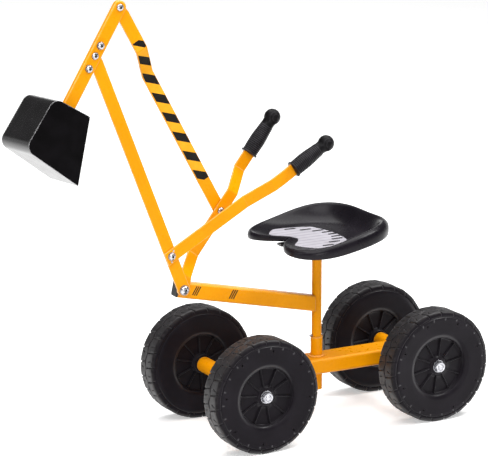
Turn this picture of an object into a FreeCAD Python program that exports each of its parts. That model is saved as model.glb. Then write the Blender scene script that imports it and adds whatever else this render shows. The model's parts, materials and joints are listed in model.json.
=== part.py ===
"""Ride-on toy excavator: four-wheel chassis, swivelling seat and beam, and a
hand-worked boom, dipper and bucket.

Units are millimetres.  +X is forward (the way the bucket reaches), +Y is the
rider's left, +Z is up.  Pieces are built about the swivel post and moved by
ORIGIN_X on export, so that the origin lies on the ground in the middle of the
machine's length and width.  In-plane points are (X, Z) pairs.
"""
import FreeCAD, Part
import math
import os

V = FreeCAD.Vector
os.makedirs("parts", exist_ok=True)

ORIGIN_X = -136.674       # from the swivel post to the middle of the whole length

# ------------------------------------------------------------ chassis
WHEEL_R = 90.0
WHEEL_W = 46.0            # over the tread
AXLE_Z = WHEEL_R
FRONT_X = 160.3           # front axle
REAR_X = -FRONT_X         # rear axle
FRONT_OUT = 129.1         # outer face of the front wheels from the centre
REAR_OUT = 116.3          # outer face of the rear wheels from the centre
AXLE_TUBE_R = 12.5
AXLE_TUBE_WALL = 1.8
AXLE_R = 5.0
CHASSIS_W = 46.0          # chassis beam, across
CHASSIS_H = 25.0          # chassis beam, high
CHASSIS_WALL = 1.6
CHASSIS_CORNER_R = 4.0
CHASSIS_END_TRIM = 4.0    # from each axle line to the beam's end
SOCKET_R = 9.6            # swivel socket
SOCKET_BORE_R = 8.06
SOCKET_TOP = 133.0
SOCKET_BOTTOM = 48.5
SWIVEL_WASHER_T = 2.0

# ------------------------------------------------------------ post and base beam
POST_R = 8.0
POST_BORE_R = 6.2
POST_BOTTOM = 50.5
POST_TOP = 290.5
STOP_PIN_R = 1.7
STOP_PIN_Z = SOCKET_TOP + SWIVEL_WASHER_T + STOP_PIN_R + 0.05
BEAM_W = 20.0
BEAM_H = 25.0
BEAM_WALL = 1.6
BEAM_CORNER_R = 3.2
BEAM_LENGTH = 320.0       # before the rear end is trimmed at the post
BEAM_SLOPE = math.atan(0.2228)
BEAM_BUTT_X = POST_R - 0.35   # the beam's square rear end
BEAM_Z0 = 188.8           # height of the beam's axis over the post
BEAM_FRONT = 5.8          # beam's front end past the base pivot, along the slope

# ------------------------------------------------------------ pivots (X, Z)
BASE_PIVOT = (245.3, 245.1)
ELBOW = (393.6, 622.6)         # boom to dipper
LINK_TOP = (351.7, 691.9)      # link to dipper
LEVER_PIVOT = (167.1, 355.9)   # link to right lever
BEAM_POINT = (BASE_PIVOT[0], BEAM_Z0 + math.tan(BEAM_SLOPE) * BASE_PIVOT[0])

# ------------------------------------------------------------ bars and fasteners
BAR_W = 20.0
BAR_T = 2.5
Y_LEVER = 11.8            # mid planes of the flat bars, across the machine
Y_BOOM = 14.85
Y_HANDLE = 17.35
Y_LEVER_MID = -10.65
Y_LEVER_GRIP = -32.5
Y_LINK_LOW = -13.65
Y_HANDLE_GRIP = 30.0
BASE_PIVOT_R = 4.0        # base pivot shank
PIN_R = 3.0               # M6 shanks
RUN = 0.05                # radial running clearance
PLAY = 0.05               # side play between bars and washers
WASHER_CLEAR = 0.1        # radial clearance in washers
LINK_SLACK_R = 4.45       # the link's slack hole at the top pivot
PIP_R = 1.2               # handle locating pins


# ------------------------------------------------------------ points and directions
def unit(start, end):
    dx, dz = end[0] - start[0], end[1] - start[1]
    length = math.hypot(dx, dz)
    return (dx / length, dz / length)


def step(point, direction, distance):
    return (point[0] + direction[0] * distance, point[1] + direction[1] * distance)


def polar(degrees):
    return (math.cos(math.radians(degrees)), math.sin(math.radians(degrees)))


def left_of(direction):
    return (-direction[1], direction[0])


def distance_along(point, start, direction):
    return (point[0] - start[0]) * direction[0] + (point[1] - start[1]) * direction[1]


def mirrored_span(side, a, b):
    """The Y range from a to b on the left (side = 1) or the right (-1)."""
    return sorted((side * a, side * b))


def bar_faces(mid_y):
    return mid_y - BAR_T / 2, mid_y + BAR_T / 2


# ------------------------------------------------------------ solids
def cylinder(axis, centre, start, end, radius):
    """Cylinder along 'x', 'y' or 'z'; centre is the other two coordinates."""
    if axis == "y":
        return Part.makeCylinder(radius, end - start, V(centre[0], start, centre[1]), V(0, 1, 0))
    if axis == "z":
        return Part.makeCylinder(radius, end - start, V(centre[0], centre[1], start), V(0, 0, 1))
    return Part.makeCylinder(radius, end - start, V(start, centre[0], centre[1]), V(1, 0, 0))


def box(x0, x1, y0, y1, z0, z1):
    return Part.makeBox(x1 - x0, y1 - y0, z1 - z0, V(x0, y0, z0))


def xz_prism(points, y0, y1):
    corners = [V(x, y0, z) for x, z in points]
    wire = Part.makePolygon(corners + [corners[0]])
    return Part.Face(wire).extrude(V(0, y1 - y0, 0))


def revolve_y(profile, centre):
    """Revolve a closed (radius, y) outline about the Y-parallel axis through centre."""
    points = [V(centre[0] + radius, y, centre[1]) for radius, y in profile]
    face = Part.Face(Part.makePolygon(points + [points[0]]))
    return face.revolve(V(centre[0], 0, centre[1]), V(0, 1, 0), 360)


def one(shape):
    """The shape's largest solid, with its split faces merged."""
    merged = shape.removeSplitter()
    return max(merged.Solids, key=lambda solid: solid.Volume)


def group(shapes):
    return Part.makeCompound([s.Solids[0] if len(s.Solids) == 1 else s for s in shapes])


def cut_if_sound(body, tool):
    """Cut, keeping the body as it was unless one valid solid comes out."""
    result = body.cut(tool)
    return result if result.isValid() and len(result.Solids) == 1 else body


def drill(shape, holes, y0, y1):
    """Cut holes along Y; holes is a list of (centre, radius)."""
    for centre, radius in holes:
        shape = shape.cut(cylinder("y", centre, y0, y1, radius))
    return shape


def tube(axis, centre, start, end, outer_r, bore_r):
    body = cylinder(axis, centre, start, end, outer_r)
    return one(body.cut(cylinder(axis, centre, start - 1, end + 1, bore_r)))


def hex_prism(centre, y0, y1, across_flats, turn=0.0):
    corner_r = across_flats / math.sqrt(3)
    return xz_prism([step(centre, polar(60 * i + turn), corner_r) for i in range(6)], y0, y1)


def washer(centre, y0, y1, outer_r, shank_r=PIN_R):
    return tube("y", centre, y0, y1, outer_r, shank_r + WASHER_CLEAR)


def nut(centre, y0, y1, across_flats=10.0, bore_r=PIN_R, turn=0.0):
    """Hex nut along Y with both faces chamfered."""
    corner_r = across_flats / math.sqrt(3) + 0.05
    face_r = across_flats / 2 * 0.97
    chamfer = 0.16 * (y1 - y0)
    envelope = revolve_y([(0, y0), (face_r, y0), (corner_r, y0 + chamfer),
                          (corner_r, y1 - chamfer), (face_r, y1), (0, y1)], centre)
    body = hex_prism(centre, y0, y1, across_flats, turn).common(envelope)
    return one(body.cut(cylinder("y", centre, y0 - 1, y1 + 1, bore_r)))


# Button head outline: (fraction of the head radius, fraction of the head height)
BUTTON_HEAD = [(0, 0), (1, 0), (1, 0.22), (0.94, 0.5), (0.78, 0.78), (0.55, 0.95),
               (0.42, 1), (0, 1)]


def button_screw(centre, head_y, tip_y, shank_r=PIN_R, head_r=5.6, head_h=3.4, socket=4.0):
    """Socket button-head screw along Y: head on the left of head_y, tip to the right."""
    head = revolve_y([(head_r * p, head_y + head_h * q) for p, q in BUTTON_HEAD], centre)
    head = head.cut(hex_prism(centre, head_y + head_h * 0.35, head_y + head_h + 1, socket))
    shank = cylinder("y", centre, tip_y, head_y, shank_r)
    tip_chamfer = revolve_y([(shank_r - 0.6, tip_y), (shank_r + 1, tip_y),
                             (shank_r + 1, tip_y + 1.6)], centre)
    return cut_if_sound(head.fuse(shank).removeSplitter(), tip_chamfer)


def rounded_rect(width, height, radius):
    """Rounded rectangle face in the YZ plane at X = 0."""
    y, z = width / 2 - radius, height / 2 - radius
    edges = []
    first = previous = None
    for cy, cz, turn in ((y, z, 0), (-y, z, 90), (-y, -z, 180), (y, -z, 270)):
        start, middle, end = [V(0, *step((cy, cz), polar(turn + a), radius)) for a in (0, 45, 90)]
        if previous is None:
            first = start
        else:
            edges.append(Part.makeLine(previous, start))
        edges.append(Part.Arc(start, middle, end).toShape())
        previous = end
    edges.append(Part.makeLine(previous, first))
    return Part.Face(Part.Wire(edges))


def rect_tube(width, height, wall, radius, length):
    """Rounded rectangular tube from X = 0 to length."""
    outer = rounded_rect(width, height, radius)
    inner = rounded_rect(width - 2 * wall, height - 2 * wall, radius - wall)
    return outer.extrude(V(length, 0, 0)).cut(inner.extrude(V(length, 0, 0)))


def bent_strip(start, direction, course):
    """Strip following the (distance along, mid Y) course, with rounded bends."""
    across = left_of(direction)
    half = 60.0                         # half the strip's width
    ring = [(d, y + BAR_T / 2) for d, y in course]
    ring += [(d, y - BAR_T / 2) for d, y in reversed(course)]
    points = []
    for d, y in ring:
        x, z = step(step(start, direction, d), across, -half)
        points.append(V(x, y, z))
    face = Part.Face(Part.makePolygon(points + [points[0]]))
    strip = face.extrude(V(across[0] * 2 * half, 0, across[1] * 2 * half))

    across_vector = V(across[0], 0, across[1])
    bends = []                          # edges across the strip: (edge, distance, y)
    for edge in strip.Edges:
        point = edge.Vertexes[0].Point
        run = edge.Vertexes[-1].Point.sub(point)
        if (abs(run.Length - 2 * half) < 1e-6
                and abs(abs(run.normalize().dot(across_vector)) - 1) < 1e-6):
            d = distance_along((point.x, point.z), start, direction)
            bends.append((edge, d, point.y))
    inner, outer = [], []
    for i in range(1, len(course) - 1):
        d, y = course[i]
        slope_before = (y - course[i - 1][1]) / (d - course[i - 1][0])
        slope_after = (course[i + 1][1] - y) / (course[i + 1][0] - d)
        for edge, edge_d, edge_y in bends:
            if abs(edge_d - d) < 1e-3:
                # a bend towards +Y has its outside on the low-Y face
                is_outer = (slope_after > slope_before) == (edge_y < y)
                (outer if is_outer else inner).append(edge)
    # a bend that can't be filleted is left sharp
    try:
        rounded = strip
        if outer:
            rounded = rounded.makeFillet(BAR_T + 2.0, outer)
        if rounded.isValid():
            strip = rounded
        # the first fillet made new edges, so the inner ones are found again
        found = [edge for edge in strip.Edges for old in inner
                 if edge.Vertexes[0].Point.sub(old.Vertexes[0].Point).Length < 1e-4
                 and edge.Vertexes[-1].Point.sub(old.Vertexes[-1].Point).Length < 1e-4]
        if found:
            rounded = strip.makeFillet(2.0, found)
            if rounded.isValid():
                strip = rounded
    except Exception:
        pass
    return strip


def joggled_bar(path, course, start_r=None):
    """Flat bar with sideways joggles.

    path: in-plane centre line.  course: (distance along the chord from path[0],
    mid Y) stations.  The outline of the path is intersected with the bent strip.
    """
    strip = bent_strip(path[0], unit(path[0], path[-1]), course)
    y0 = min(y for _, y in course) - BAR_T
    y1 = max(y for _, y in course) + BAR_T
    half = BAR_W / 2
    body = None
    for i in range(len(path) - 1):
        start, end = path[i], path[i + 1]
        side = left_of(unit(start, end))
        leg = xz_prism([step(start, side, half), step(end, side, half),
                        step(end, side, -half), step(start, side, -half)], y0, y1)
        body = leg if body is None else body.fuse(leg)
        if i > 0:
            body = body.fuse(cylinder("y", start, y0, y1, half))
    if start_r:
        body = body.fuse(cylinder("y", path[0], y0, y1, start_r))
    return one(strip.common(body))


def export(node, shape):
    shape = shape.copy()
    shape.translate(V(ORIGIN_X, 0, 0))
    shape.exportStep("parts/%s.step" % node)


# =====================================================================
# 1. Chassis
# =====================================================================
def chassis_beam():
    beam = rect_tube(CHASSIS_W, CHASSIS_H, CHASSIS_WALL, CHASSIS_CORNER_R, FRONT_X - REAR_X)
    beam.translate(V(REAR_X, 0, AXLE_Z))
    for x in (FRONT_X, REAR_X):
        beam = beam.cut(cylinder("y", (x, AXLE_Z), -60, 60, AXLE_TUBE_R))
    beam = beam.cut(cylinder("z", (0, 0), 40, 140, SOCKET_R))
    return one(beam.common(box(REAR_X + CHASSIS_END_TRIM, FRONT_X - CHASSIS_END_TRIM,
                               -60, 60, 0, 200)))


def axle_rod(centre, end):
    rod = cylinder("y", centre, -end, end, AXLE_R)
    for side in (-1, 1):
        chamfer = revolve_y([(AXLE_R - 1.0, side * end), (AXLE_R + 1, side * end),
                             (AXLE_R + 1, side * (end - 2))], centre)
        rod = cut_if_sound(rod, chamfer)
    return one(rod)


def tube_end_bush(centre, side, tube_end, flange_end):
    """Plug in the axle tube's end with a flange over it, bored for the rod."""
    depth = 14.0
    a, b = mirrored_span(side, tube_end - depth, tube_end)
    bush = cylinder("y", centre, a, b, AXLE_TUBE_R - AXLE_TUBE_WALL)
    a, b = mirrored_span(side, tube_end, flange_end)
    bush = bush.fuse(cylinder("y", centre, a, b, AXLE_TUBE_R))
    return one(bush.cut(cylinder("y", centre, -150, 150, AXLE_R)))


def export_axle_set(name, x, out):
    """Axle tube, rod, bushes, washers and nuts; out is the wheels' outer face."""
    centre = (x, AXLE_Z)
    hub_inner_end = out - WHEEL_W - 2.0
    tube_end = hub_inner_end - 2.2
    flange_end = tube_end + 1.0
    nut_inner = out - 5.6
    washer_r = 10.0
    bushes, washers, nuts = [], [], []
    for side in (-1, 1):
        bushes.append(tube_end_bush(centre, side, tube_end, flange_end))
        for start, end in ((flange_end, tube_end + 2.1), (out - 7.0, nut_inner)):
            washers.append(washer(centre, *mirrored_span(side, start, end), washer_r, AXLE_R))
        nuts.append(nut(centre, *mirrored_span(side, nut_inner, out + 0.6), across_flats=15.5,
                        bore_r=AXLE_R, turn=12.0))
    export(name + "_axle_tube", tube("y", centre, -tube_end, tube_end, AXLE_TUBE_R,
                                     AXLE_TUBE_R - AXLE_TUBE_WALL))
    export(name + "_axle_rod", axle_rod(centre, out + 1.2))
    export(name + "_tube_end_bushes", group(bushes))
    export(name + "_axle_washers", group(washers))
    export(name + "_axle_nuts", group(nuts))


def swivel_base_ring():
    """Chamfered ring round the socket, on top of the chassis beam."""
    bottom = AXLE_Z + CHASSIS_H / 2
    height, radius = 2.6, 13.0
    ring = tube("z", (0, 0), bottom, bottom + height, radius, SOCKET_R)
    top_rim = [e for e in ring.Edges if abs(e.BoundBox.ZMin - bottom - height) < 1e-6
               and e.BoundBox.XMax > radius - 0.1]
    return one(ring.makeChamfer(1.0, top_rim))


# ------------------------------------------------------------ wheels
# Wheel outlines: (radius, distance outwards from the tread's inner face)
HUB_BORE_R = AXLE_R + 0.06
HUB_INNER, HUB_OUTER = -1.9, WHEEL_W - 7.1
WHEEL_OUTSIDE = [
    (HUB_BORE_R, HUB_INNER), (15.5, HUB_INNER), (15.5, 9.0), (43.8, 9.0), (45.4, 7.8),
    (46.2, 5.6), (47.8, 3.2), (50.8, 1.3), (54.5, 0.45), (78, 0.0), (81.5, 1.4), (83.0, 0.8),
    (86.0, 2.6), (WHEEL_R - 0.8, 6.5), (WHEEL_R, 10.0), (WHEEL_R, WHEEL_W - 10.0),
    (WHEEL_R - 0.8, WHEEL_W - 6.5), (86.0, WHEEL_W - 2.6), (83.0, WHEEL_W - 0.8),
    (81.5, WHEEL_W - 1.4), (78, WHEEL_W), (54.5, WHEEL_W - 0.45), (50.8, WHEEL_W - 1.3),
    (47.8, WHEEL_W - 3.2), (46.2, WHEEL_W - 5.8), (45.5, WHEEL_W - 10.4),
    (43.8, WHEEL_W - 12.0), (19.6, WHEEL_W - 12.0), (17.4, WHEEL_W - 10.8),
    (15.4, WHEEL_W - 9.4), (14.3, HUB_OUTER), (HUB_BORE_R, HUB_OUTER)]
WHEEL_HOLLOW = [
    (18.5, 12.0), (44.6, 12.0), (48.6, 9.0), (50.6, 5.4), (54.0, 3.6), (78, 3.0), (85.0, 5.2),
    (WHEEL_R - 3.6, 8.6), (WHEEL_R - 3.2, 12.0), (WHEEL_R - 3.2, WHEEL_W - 12.0),
    (WHEEL_R - 3.6, WHEEL_W - 8.6), (85.0, WHEEL_W - 5.2), (78, WHEEL_W - 3.0),
    (54.0, WHEEL_W - 3.6), (50.6, WHEEL_W - 5.4), (48.6, WHEEL_W - 9.0),
    (46.6, WHEEL_W - 14.0), (44.6, WHEEL_W - 15.0), (18.5, WHEEL_W - 15.0)]
RIB_COUNT = 10
RIB_R0, RIB_R1 = 14.5, 43.6
RIB_HALF_T = 1.1
RIB_SPANS = ((WHEEL_W - 12.6, WHEEL_W - 8.6), (9.6, 6.2))   # outer dish, inner dish

# name, axle X, outer face, side, turn of the wheel in degrees
WHEELS = (("front_left", FRONT_X, FRONT_OUT, 1, 7.0),
          ("front_right", FRONT_X, FRONT_OUT, -1, 16.0),
          ("rear_left", REAR_X, REAR_OUT, 1, 25.0),
          ("rear_right", REAR_X, REAR_OUT, -1, 33.0))


def wheel(x, out, side, turn):
    """Hollow moulded wheel: tread, flat sidewalls, ribbed dishes and hub."""
    centre = (x, AXLE_Z)
    inner_face = out - WHEEL_W

    def placed(profile):
        return revolve_y([(r, side * (inner_face + v)) for r, v in profile], centre)

    body = placed(WHEEL_OUTSIDE).cut(placed(WHEEL_HOLLOW))
    # blow pin hole through the inner dish
    a, b = mirrored_span(side, inner_face + 7.5, inner_face + 13.5)
    body = body.cut(cylinder("y", step(centre, polar(turn + 18.0), 30.0), a, b, 2.0))
    ribs = []
    for k in range(RIB_COUNT):
        ray = polar(360.0 / RIB_COUNT * k + turn)
        across = left_of(ray)
        root, end = step(centre, ray, RIB_R0), step(centre, ray, RIB_R1)
        outline = [step(root, across, RIB_HALF_T), step(end, across, RIB_HALF_T),
                   step(end, across, -RIB_HALF_T), step(root, across, -RIB_HALF_T)]
        for v0, v1 in RIB_SPANS:
            a, b = mirrored_span(side, inner_face + v0, inner_face + v1)
            ribs.append(xz_prism(outline, a, b))
    return one(body.fuse(ribs))


export("chassis_beam", chassis_beam())
export_axle_set("front", FRONT_X, FRONT_OUT)
export_axle_set("rear", REAR_X, REAR_OUT)
export("swivel_socket", tube("z", (0, 0), SOCKET_BOTTOM, SOCKET_TOP, SOCKET_R, SOCKET_BORE_R))
export("swivel_base_ring", swivel_base_ring())
for wheel_name, *wheel_place in WHEELS:
    export("wheel_" + wheel_name, wheel(*wheel_place))


# =====================================================================
# 2. Swivelling upper: post, beam, seat
# =====================================================================
def seat_post():
    post = tube("z", (0, 0), POST_BOTTOM, POST_TOP, POST_R, POST_BORE_R)
    return one(post.cut(cylinder("x", (0, STOP_PIN_Z), -20, 20, STOP_PIN_R)))


def stop_pin():
    """Cross pin through the post over the washer, domed at the rear end."""
    rear, front = -10.2, 12.6
    pin = cylinder("x", (0, STOP_PIN_Z), rear, front, STOP_PIN_R)
    pin = pin.fuse(Part.makeSphere(STOP_PIN_R, V(rear, 0, STOP_PIN_Z)))
    front_rim = [e for e in pin.Edges if abs(e.BoundBox.XMin - front) < 1e-3 and e.Closed]
    return one(pin.makeChamfer(0.5, front_rim))


def place_on_beam(shape):
    """Tilt a shape built along X to the beam's slope, X = 0 going to BEAM_POINT."""
    shape.rotate(V(0, 0, 0), V(0, 1, 0), -math.degrees(BEAM_SLOPE))
    shape.translate(V(BEAM_POINT[0], 0, BEAM_POINT[1]))
    return shape


def beam_box(start, end, half_w, half_h):
    """Box lying on the beam's axis, from start to end past BEAM_POINT."""
    return place_on_beam(box(start, end, -half_w, half_w, -half_h, half_h))


def base_beam():
    """Beam sloping up to the front, butted on the post's front."""
    beam = rect_tube(BEAM_W, BEAM_H, BEAM_WALL, BEAM_CORNER_R, BEAM_LENGTH)
    beam.translate(V(-BEAM_LENGTH + BEAM_FRONT, 0, 0))
    beam = place_on_beam(beam)
    beam = beam.cut(box(-200, BEAM_BUTT_X, -30, 30, 0, 400))
    # shallow saddle for the weld
    beam = beam.cut(cylinder("z", (0, 0), 50, 300, POST_R))
    beam = beam.cut(cylinder("y", BASE_PIVOT, 0, 30, BASE_PIVOT_R + 0.1))
    return one(beam.common(box(0, 400, -30, 30, 100, 400)))


def beam_end_plug():
    """Moulded plug in the beam's front end: a bulging cap and a socket skirt."""
    cap_t = 2.4
    cap = beam_box(BEAM_FRONT, BEAM_FRONT + cap_t, BEAM_W / 2, BEAM_H / 2)
    cap = cap.makeFillet(3.6, [e for e in cap.Edges if abs(e.Length - cap_t) < 1e-4])
    slope = (math.cos(BEAM_SLOPE), math.sin(BEAM_SLOPE))
    front_edges = [e for e in cap.Edges
                   if min(distance_along((v.Point.x, v.Point.z), BEAM_POINT, slope)
                          for v in e.Vertexes) > BEAM_FRONT + cap_t - 0.1]
    # the cap keeps a square front edge if the fillet fails
    try:
        bulged = cap.makeFillet(1.9, front_edges)
        if bulged.isValid():
            cap = bulged
    except Exception:
        pass

    half_w, half_h = BEAM_W / 2 - BEAM_WALL, BEAM_H / 2 - BEAM_WALL
    fit, outside_to_inside = 0.1, 1.8
    back = BEAM_FRONT - 9
    skirt = beam_box(BEAM_FRONT - 8.0, BEAM_FRONT + 0.5, half_w - fit, half_h - fit)
    skirt = skirt.cut(beam_box(back, BEAM_FRONT, half_w - outside_to_inside,
                               half_h - outside_to_inside))
    # the skirt's sides are open in the middle and clear the pivot
    skirt = skirt.cut(beam_box(back, BEAM_FRONT, BEAM_W, 6.6))
    skirt = skirt.cut(cylinder("y", BASE_PIVOT, -20, 20, 6.2))
    bore = rounded_rect(2 * half_w, 2 * half_h, BEAM_CORNER_R - BEAM_WALL).extrude(V(20, 0, 0))
    bore.translate(V(-15 + BEAM_FRONT, 0, 0))
    skirt = skirt.common(place_on_beam(bore))
    return one(cap.fuse(skirt))


BRACKET_T = 3.0
SEAT_SCREW_R = 2.5
SEAT_SCREW_DEPTH = 2.8    # into the seat
SEAT_SCREWS = [(sx * 20, sy * 20) for sx in (-1, 1) for sy in (-1, 1)]   # (X, Y)


def seat_bracket():
    """Plate on top of the post, with a tongue to the front."""
    def upright(edge):
        return abs(edge.BoundBox.ZLength - BRACKET_T) < 1e-6

    plate = box(-30, 30, -30, 30, POST_TOP, POST_TOP + BRACKET_T)
    plate = plate.makeFillet(6.0, [e for e in plate.Edges if upright(e)])
    tongue = box(20, 69, -9, 9, POST_TOP, POST_TOP + BRACKET_T)
    tongue = tongue.makeFillet(4.0, [e for e in tongue.Edges
                                     if upright(e) and e.BoundBox.XMin > 60])
    plate = one(plate.fuse(tongue))
    for centre in SEAT_SCREWS:
        plate = plate.cut(cylinder("z", centre, POST_TOP - 1, POST_TOP + 4,
                                   SEAT_SCREW_R + 0.05))
    return one(plate)


# ------------------------------------------------------------ seat
SEAT_Z = POST_TOP + BRACKET_T      # underside of the bowl on the bracket
SEAT_T = 4.0
SEAT_CENTRE_X = -0.9
SEAT_ANGLES = 60                   # sections round the pan
SEAT_MIDDLE_R = 14.0               # radius of the innermost control points
# Cosine series in the angle from the front
SEAT_RIM = (107.8, -2.6, -8.1, -2.0, -6.6, -1.0)   # rim radius
SEAT_CREST = (315.0, -15.6, -0.3, 3.5)             # rim height
SEAT_SKIRT = (17.6, -6.0, -3.5)                    # depth of the turned-down skirt
NOTCH_DEPTH, NOTCH_ANGLE = 33.2, 0.38              # front notch in the rim, width in radians
# (fraction of the crest radius, fraction of the height from floor to crest)
SEAT_TOP_RISE = ((0.45, 0.0), (0.64, 0.02), (0.78, 0.16), (0.90, 0.62))
SEAT_UNDER_RISE = ((0.86, 0.52), (0.75, 0.11), (0.61, 0.01), (0.45, 0.0))


def cosine_series(terms, angle):
    return sum(k * math.cos(i * angle) for i, k in enumerate(terms))


def seat_section(angle):
    """Control points (radius, z) of the pan section: top, rim, then underside."""
    from_front = (angle + math.pi) % (2 * math.pi) - math.pi
    rim = cosine_series(SEAT_RIM, angle)
    rim -= NOTCH_DEPTH * math.exp(-(from_front / NOTCH_ANGLE) ** 2)
    high = cosine_series(SEAT_CREST, angle)
    skirt = cosine_series(SEAT_SKIRT, angle)
    floor = SEAT_Z + SEAT_T
    crest = rim - max(4.4, 0.40 * skirt)
    rise = high - floor
    top = [(SEAT_MIDDLE_R, floor)] + [(crest * f, floor + rise * g) for f, g in SEAT_TOP_RISE]
    edge = [(crest - 4.5, high - 1.2), (crest + 0.3, high + 1.0),
            (rim - 0.3 * (rim - crest), high - 0.08 * skirt), (rim + 1.0, high - 0.38 * skirt),
            (rim + 0.3, high - skirt), (rim - 2.2, high - skirt),
            (rim - 2.9, high - 0.48 * skirt), (crest - 3.4, high - 5.8)]
    under = [(crest * f, SEAT_Z + rise * g) for f, g in SEAT_UNDER_RISE]
    return top + edge + under + [(SEAT_MIDDLE_R, SEAT_Z)]


def seat_blank():
    """The pan as one spline surface closed by a flat face on each inner loop."""
    poles = []
    for k in range(SEAT_ANGLES):
        angle = 2 * math.pi * k / SEAT_ANGLES
        poles.append([V(SEAT_CENTRE_X + r * math.cos(angle), r * math.sin(angle), z)
                      for r, z in seat_section(angle)])
    round_knots = list(range(SEAT_ANGLES + 1))
    section_knots = list(range(len(poles[0]) - 3 + 1))
    surface = Part.BSplineSurface()
    surface.buildFromPolesMultsKnots(
        poles, [1] * (SEAT_ANGLES + 1), [4] + [1] * (len(section_knots) - 2) + [4],
        round_knots, section_knots, True, False, 3, 3)
    skin = surface.toShape()
    level_loops = [e for e in skin.Edges if e.BoundBox.ZLength < 0.05]
    faces = [skin] + [Part.Face(Part.Wire([e])) for e in level_loops]
    shell = Part.Shell(faces)
    # the plain shell serves if making or sewing the joined one fails
    try:
        shell = Part.makeShell(faces)
        shell.sewShape()
    except Exception:
        pass
    pan = Part.Solid(shell)
    if pan.Volume < 0:
        pan.reverse()
    return pan


def seat_pan():
    pan = seat_blank()
    # blind holes for the seat screws, from below
    for centre in SEAT_SCREWS:
        pan = pan.cut(cylinder("z", centre, SEAT_Z - 1, SEAT_Z + SEAT_SCREW_DEPTH,
                               SEAT_SCREW_R))
    # drain slots in a curved row along the rear of the flat panel
    for k in range(-3, 4):
        y = 9.0 * k
        x = -46.0 + 0.018 * y * y
        pan = pan.cut(box(x - 7.0, x + 7.0, y - 1.3, y + 1.3, SEAT_Z - 2, SEAT_Z + 30))
    return one(pan)


def seat_screw(centre):
    """Slotted screw up through the bracket."""
    x, y = centre
    head_h = 2.4
    screw = cylinder("z", centre, POST_TOP - head_h, POST_TOP, 4.4)
    screw = screw.fuse(cylinder("z", centre, POST_TOP, SEAT_Z + SEAT_SCREW_DEPTH, SEAT_SCREW_R))
    return one(screw.cut(box(x - 3, x + 3, y - 0.6, y + 0.6, POST_TOP - 3, POST_TOP - 1.2)))


export("seat_post", seat_post())
export("swivel_washer", tube("z", (0, 0), SOCKET_TOP, SOCKET_TOP + SWIVEL_WASHER_T, 9.8,
                             POST_R + WASHER_CLEAR))
export("stop_pin", stop_pin())
export("base_beam", base_beam())
export("beam_end_plug", beam_end_plug())
export("seat_bracket", seat_bracket())
export("seat_pan", seat_pan())
export("seat_screws", group([seat_screw(centre) for centre in SEAT_SCREWS]))

# =====================================================================
# 3. Base pivot hardware
# =====================================================================
BOOM_Y0, BOOM_Y1 = bar_faces(Y_BOOM)
LEVER_Y0, LEVER_Y1 = bar_faces(Y_LEVER)
BASE_TIP_Y = -7.0
BASE_HEAD_Y = BOOM_Y1 + 1.55


def pivot_sleeve():
    """Sleeve across the inside of the beam, bored from the left."""
    half = BEAM_W / 2 - BEAM_WALL
    sleeve = cylinder("y", BASE_PIVOT, -half, half, 5.3)
    return one(sleeve.cut(cylinder("y", BASE_PIVOT, BASE_TIP_Y - 0.4, 30, BASE_PIVOT_R)))


export("base_pivot_screw", button_screw(BASE_PIVOT, BASE_HEAD_Y, BASE_TIP_Y, BASE_PIVOT_R,
                                        head_r=7.0, head_h=4.2, socket=5.0))
export("pivot_sleeve", pivot_sleeve())
export("base_pivot_washers", group([
    washer(BASE_PIVOT, start, end, radius, BASE_PIVOT_R) for start, end, radius in (
        (BEAM_W / 2, LEVER_Y0 - PLAY, 9.0),
        (LEVER_Y1 + PLAY, BOOM_Y0 - PLAY, 8.6),
        (BOOM_Y1 + PLAY, BASE_HEAD_Y, 7.9))]))

# =====================================================================
# 4. Boom, left handle and grips
# =====================================================================
BOOM_DIR = unit(BASE_PIVOT, ELBOW)
BOOM_SIDE = left_of(BOOM_DIR)
BOOM_LENGTH = math.dist(BASE_PIVOT, ELBOW)
HANDLE_BOLT = step(BASE_PIVOT, BOOM_DIR, 60.9)
PIPS = ((HANDLE_BOLT[0] - 3.0, HANDLE_BOLT[1] + 8.4), (HANDLE_BOLT[0], HANDLE_BOLT[1] - 8.7))
HANDLE_HOLES = [(HANDLE_BOLT, PIN_R)] + [(pip, PIP_R) for pip in PIPS]

HANDLE_DIR = polar(151.0)
HANDLE_GRIP_DIR = polar(148.5)
HANDLE_TAIL = 26.0        # handle's lower end to its bolt
HANDLE_KNEE = step(HANDLE_BOLT, HANDLE_DIR, 213.0)
HANDLE_GRIP_LEG = 76.0    # knee to the grip end of the bar
HANDLE_Y1 = bar_faces(Y_HANDLE)[1]
HANDLE_WASHER_T = 1.1
GRIP_DEEP = 52.0          # how far a bar goes into its grip


def boom_point(along, across):
    return step(step(BASE_PIVOT, BOOM_DIR, along), BOOM_SIDE, across)


def boom_bar():
    """Straight bar, narrowing to the elbow."""
    root_r, elbow_r = 10.0, 8.0
    taper = BOOM_LENGTH - 13
    boom = xz_prism([boom_point(0, root_r), boom_point(0, -root_r),
                     boom_point(taper, -root_r), boom_point(BOOM_LENGTH, -elbow_r),
                     boom_point(BOOM_LENGTH, elbow_r), boom_point(taper, root_r)],
                    BOOM_Y0, BOOM_Y1)
    boom = boom.fuse(cylinder("y", BASE_PIVOT, BOOM_Y0, BOOM_Y1, root_r))
    boom = boom.fuse(cylinder("y", ELBOW, BOOM_Y0, BOOM_Y1, elbow_r))
    pivots = [(BASE_PIVOT, BASE_PIVOT_R + RUN), (ELBOW, PIN_R + RUN)]
    return one(drill(boom, pivots + HANDLE_HOLES, 0, 40))


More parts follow.
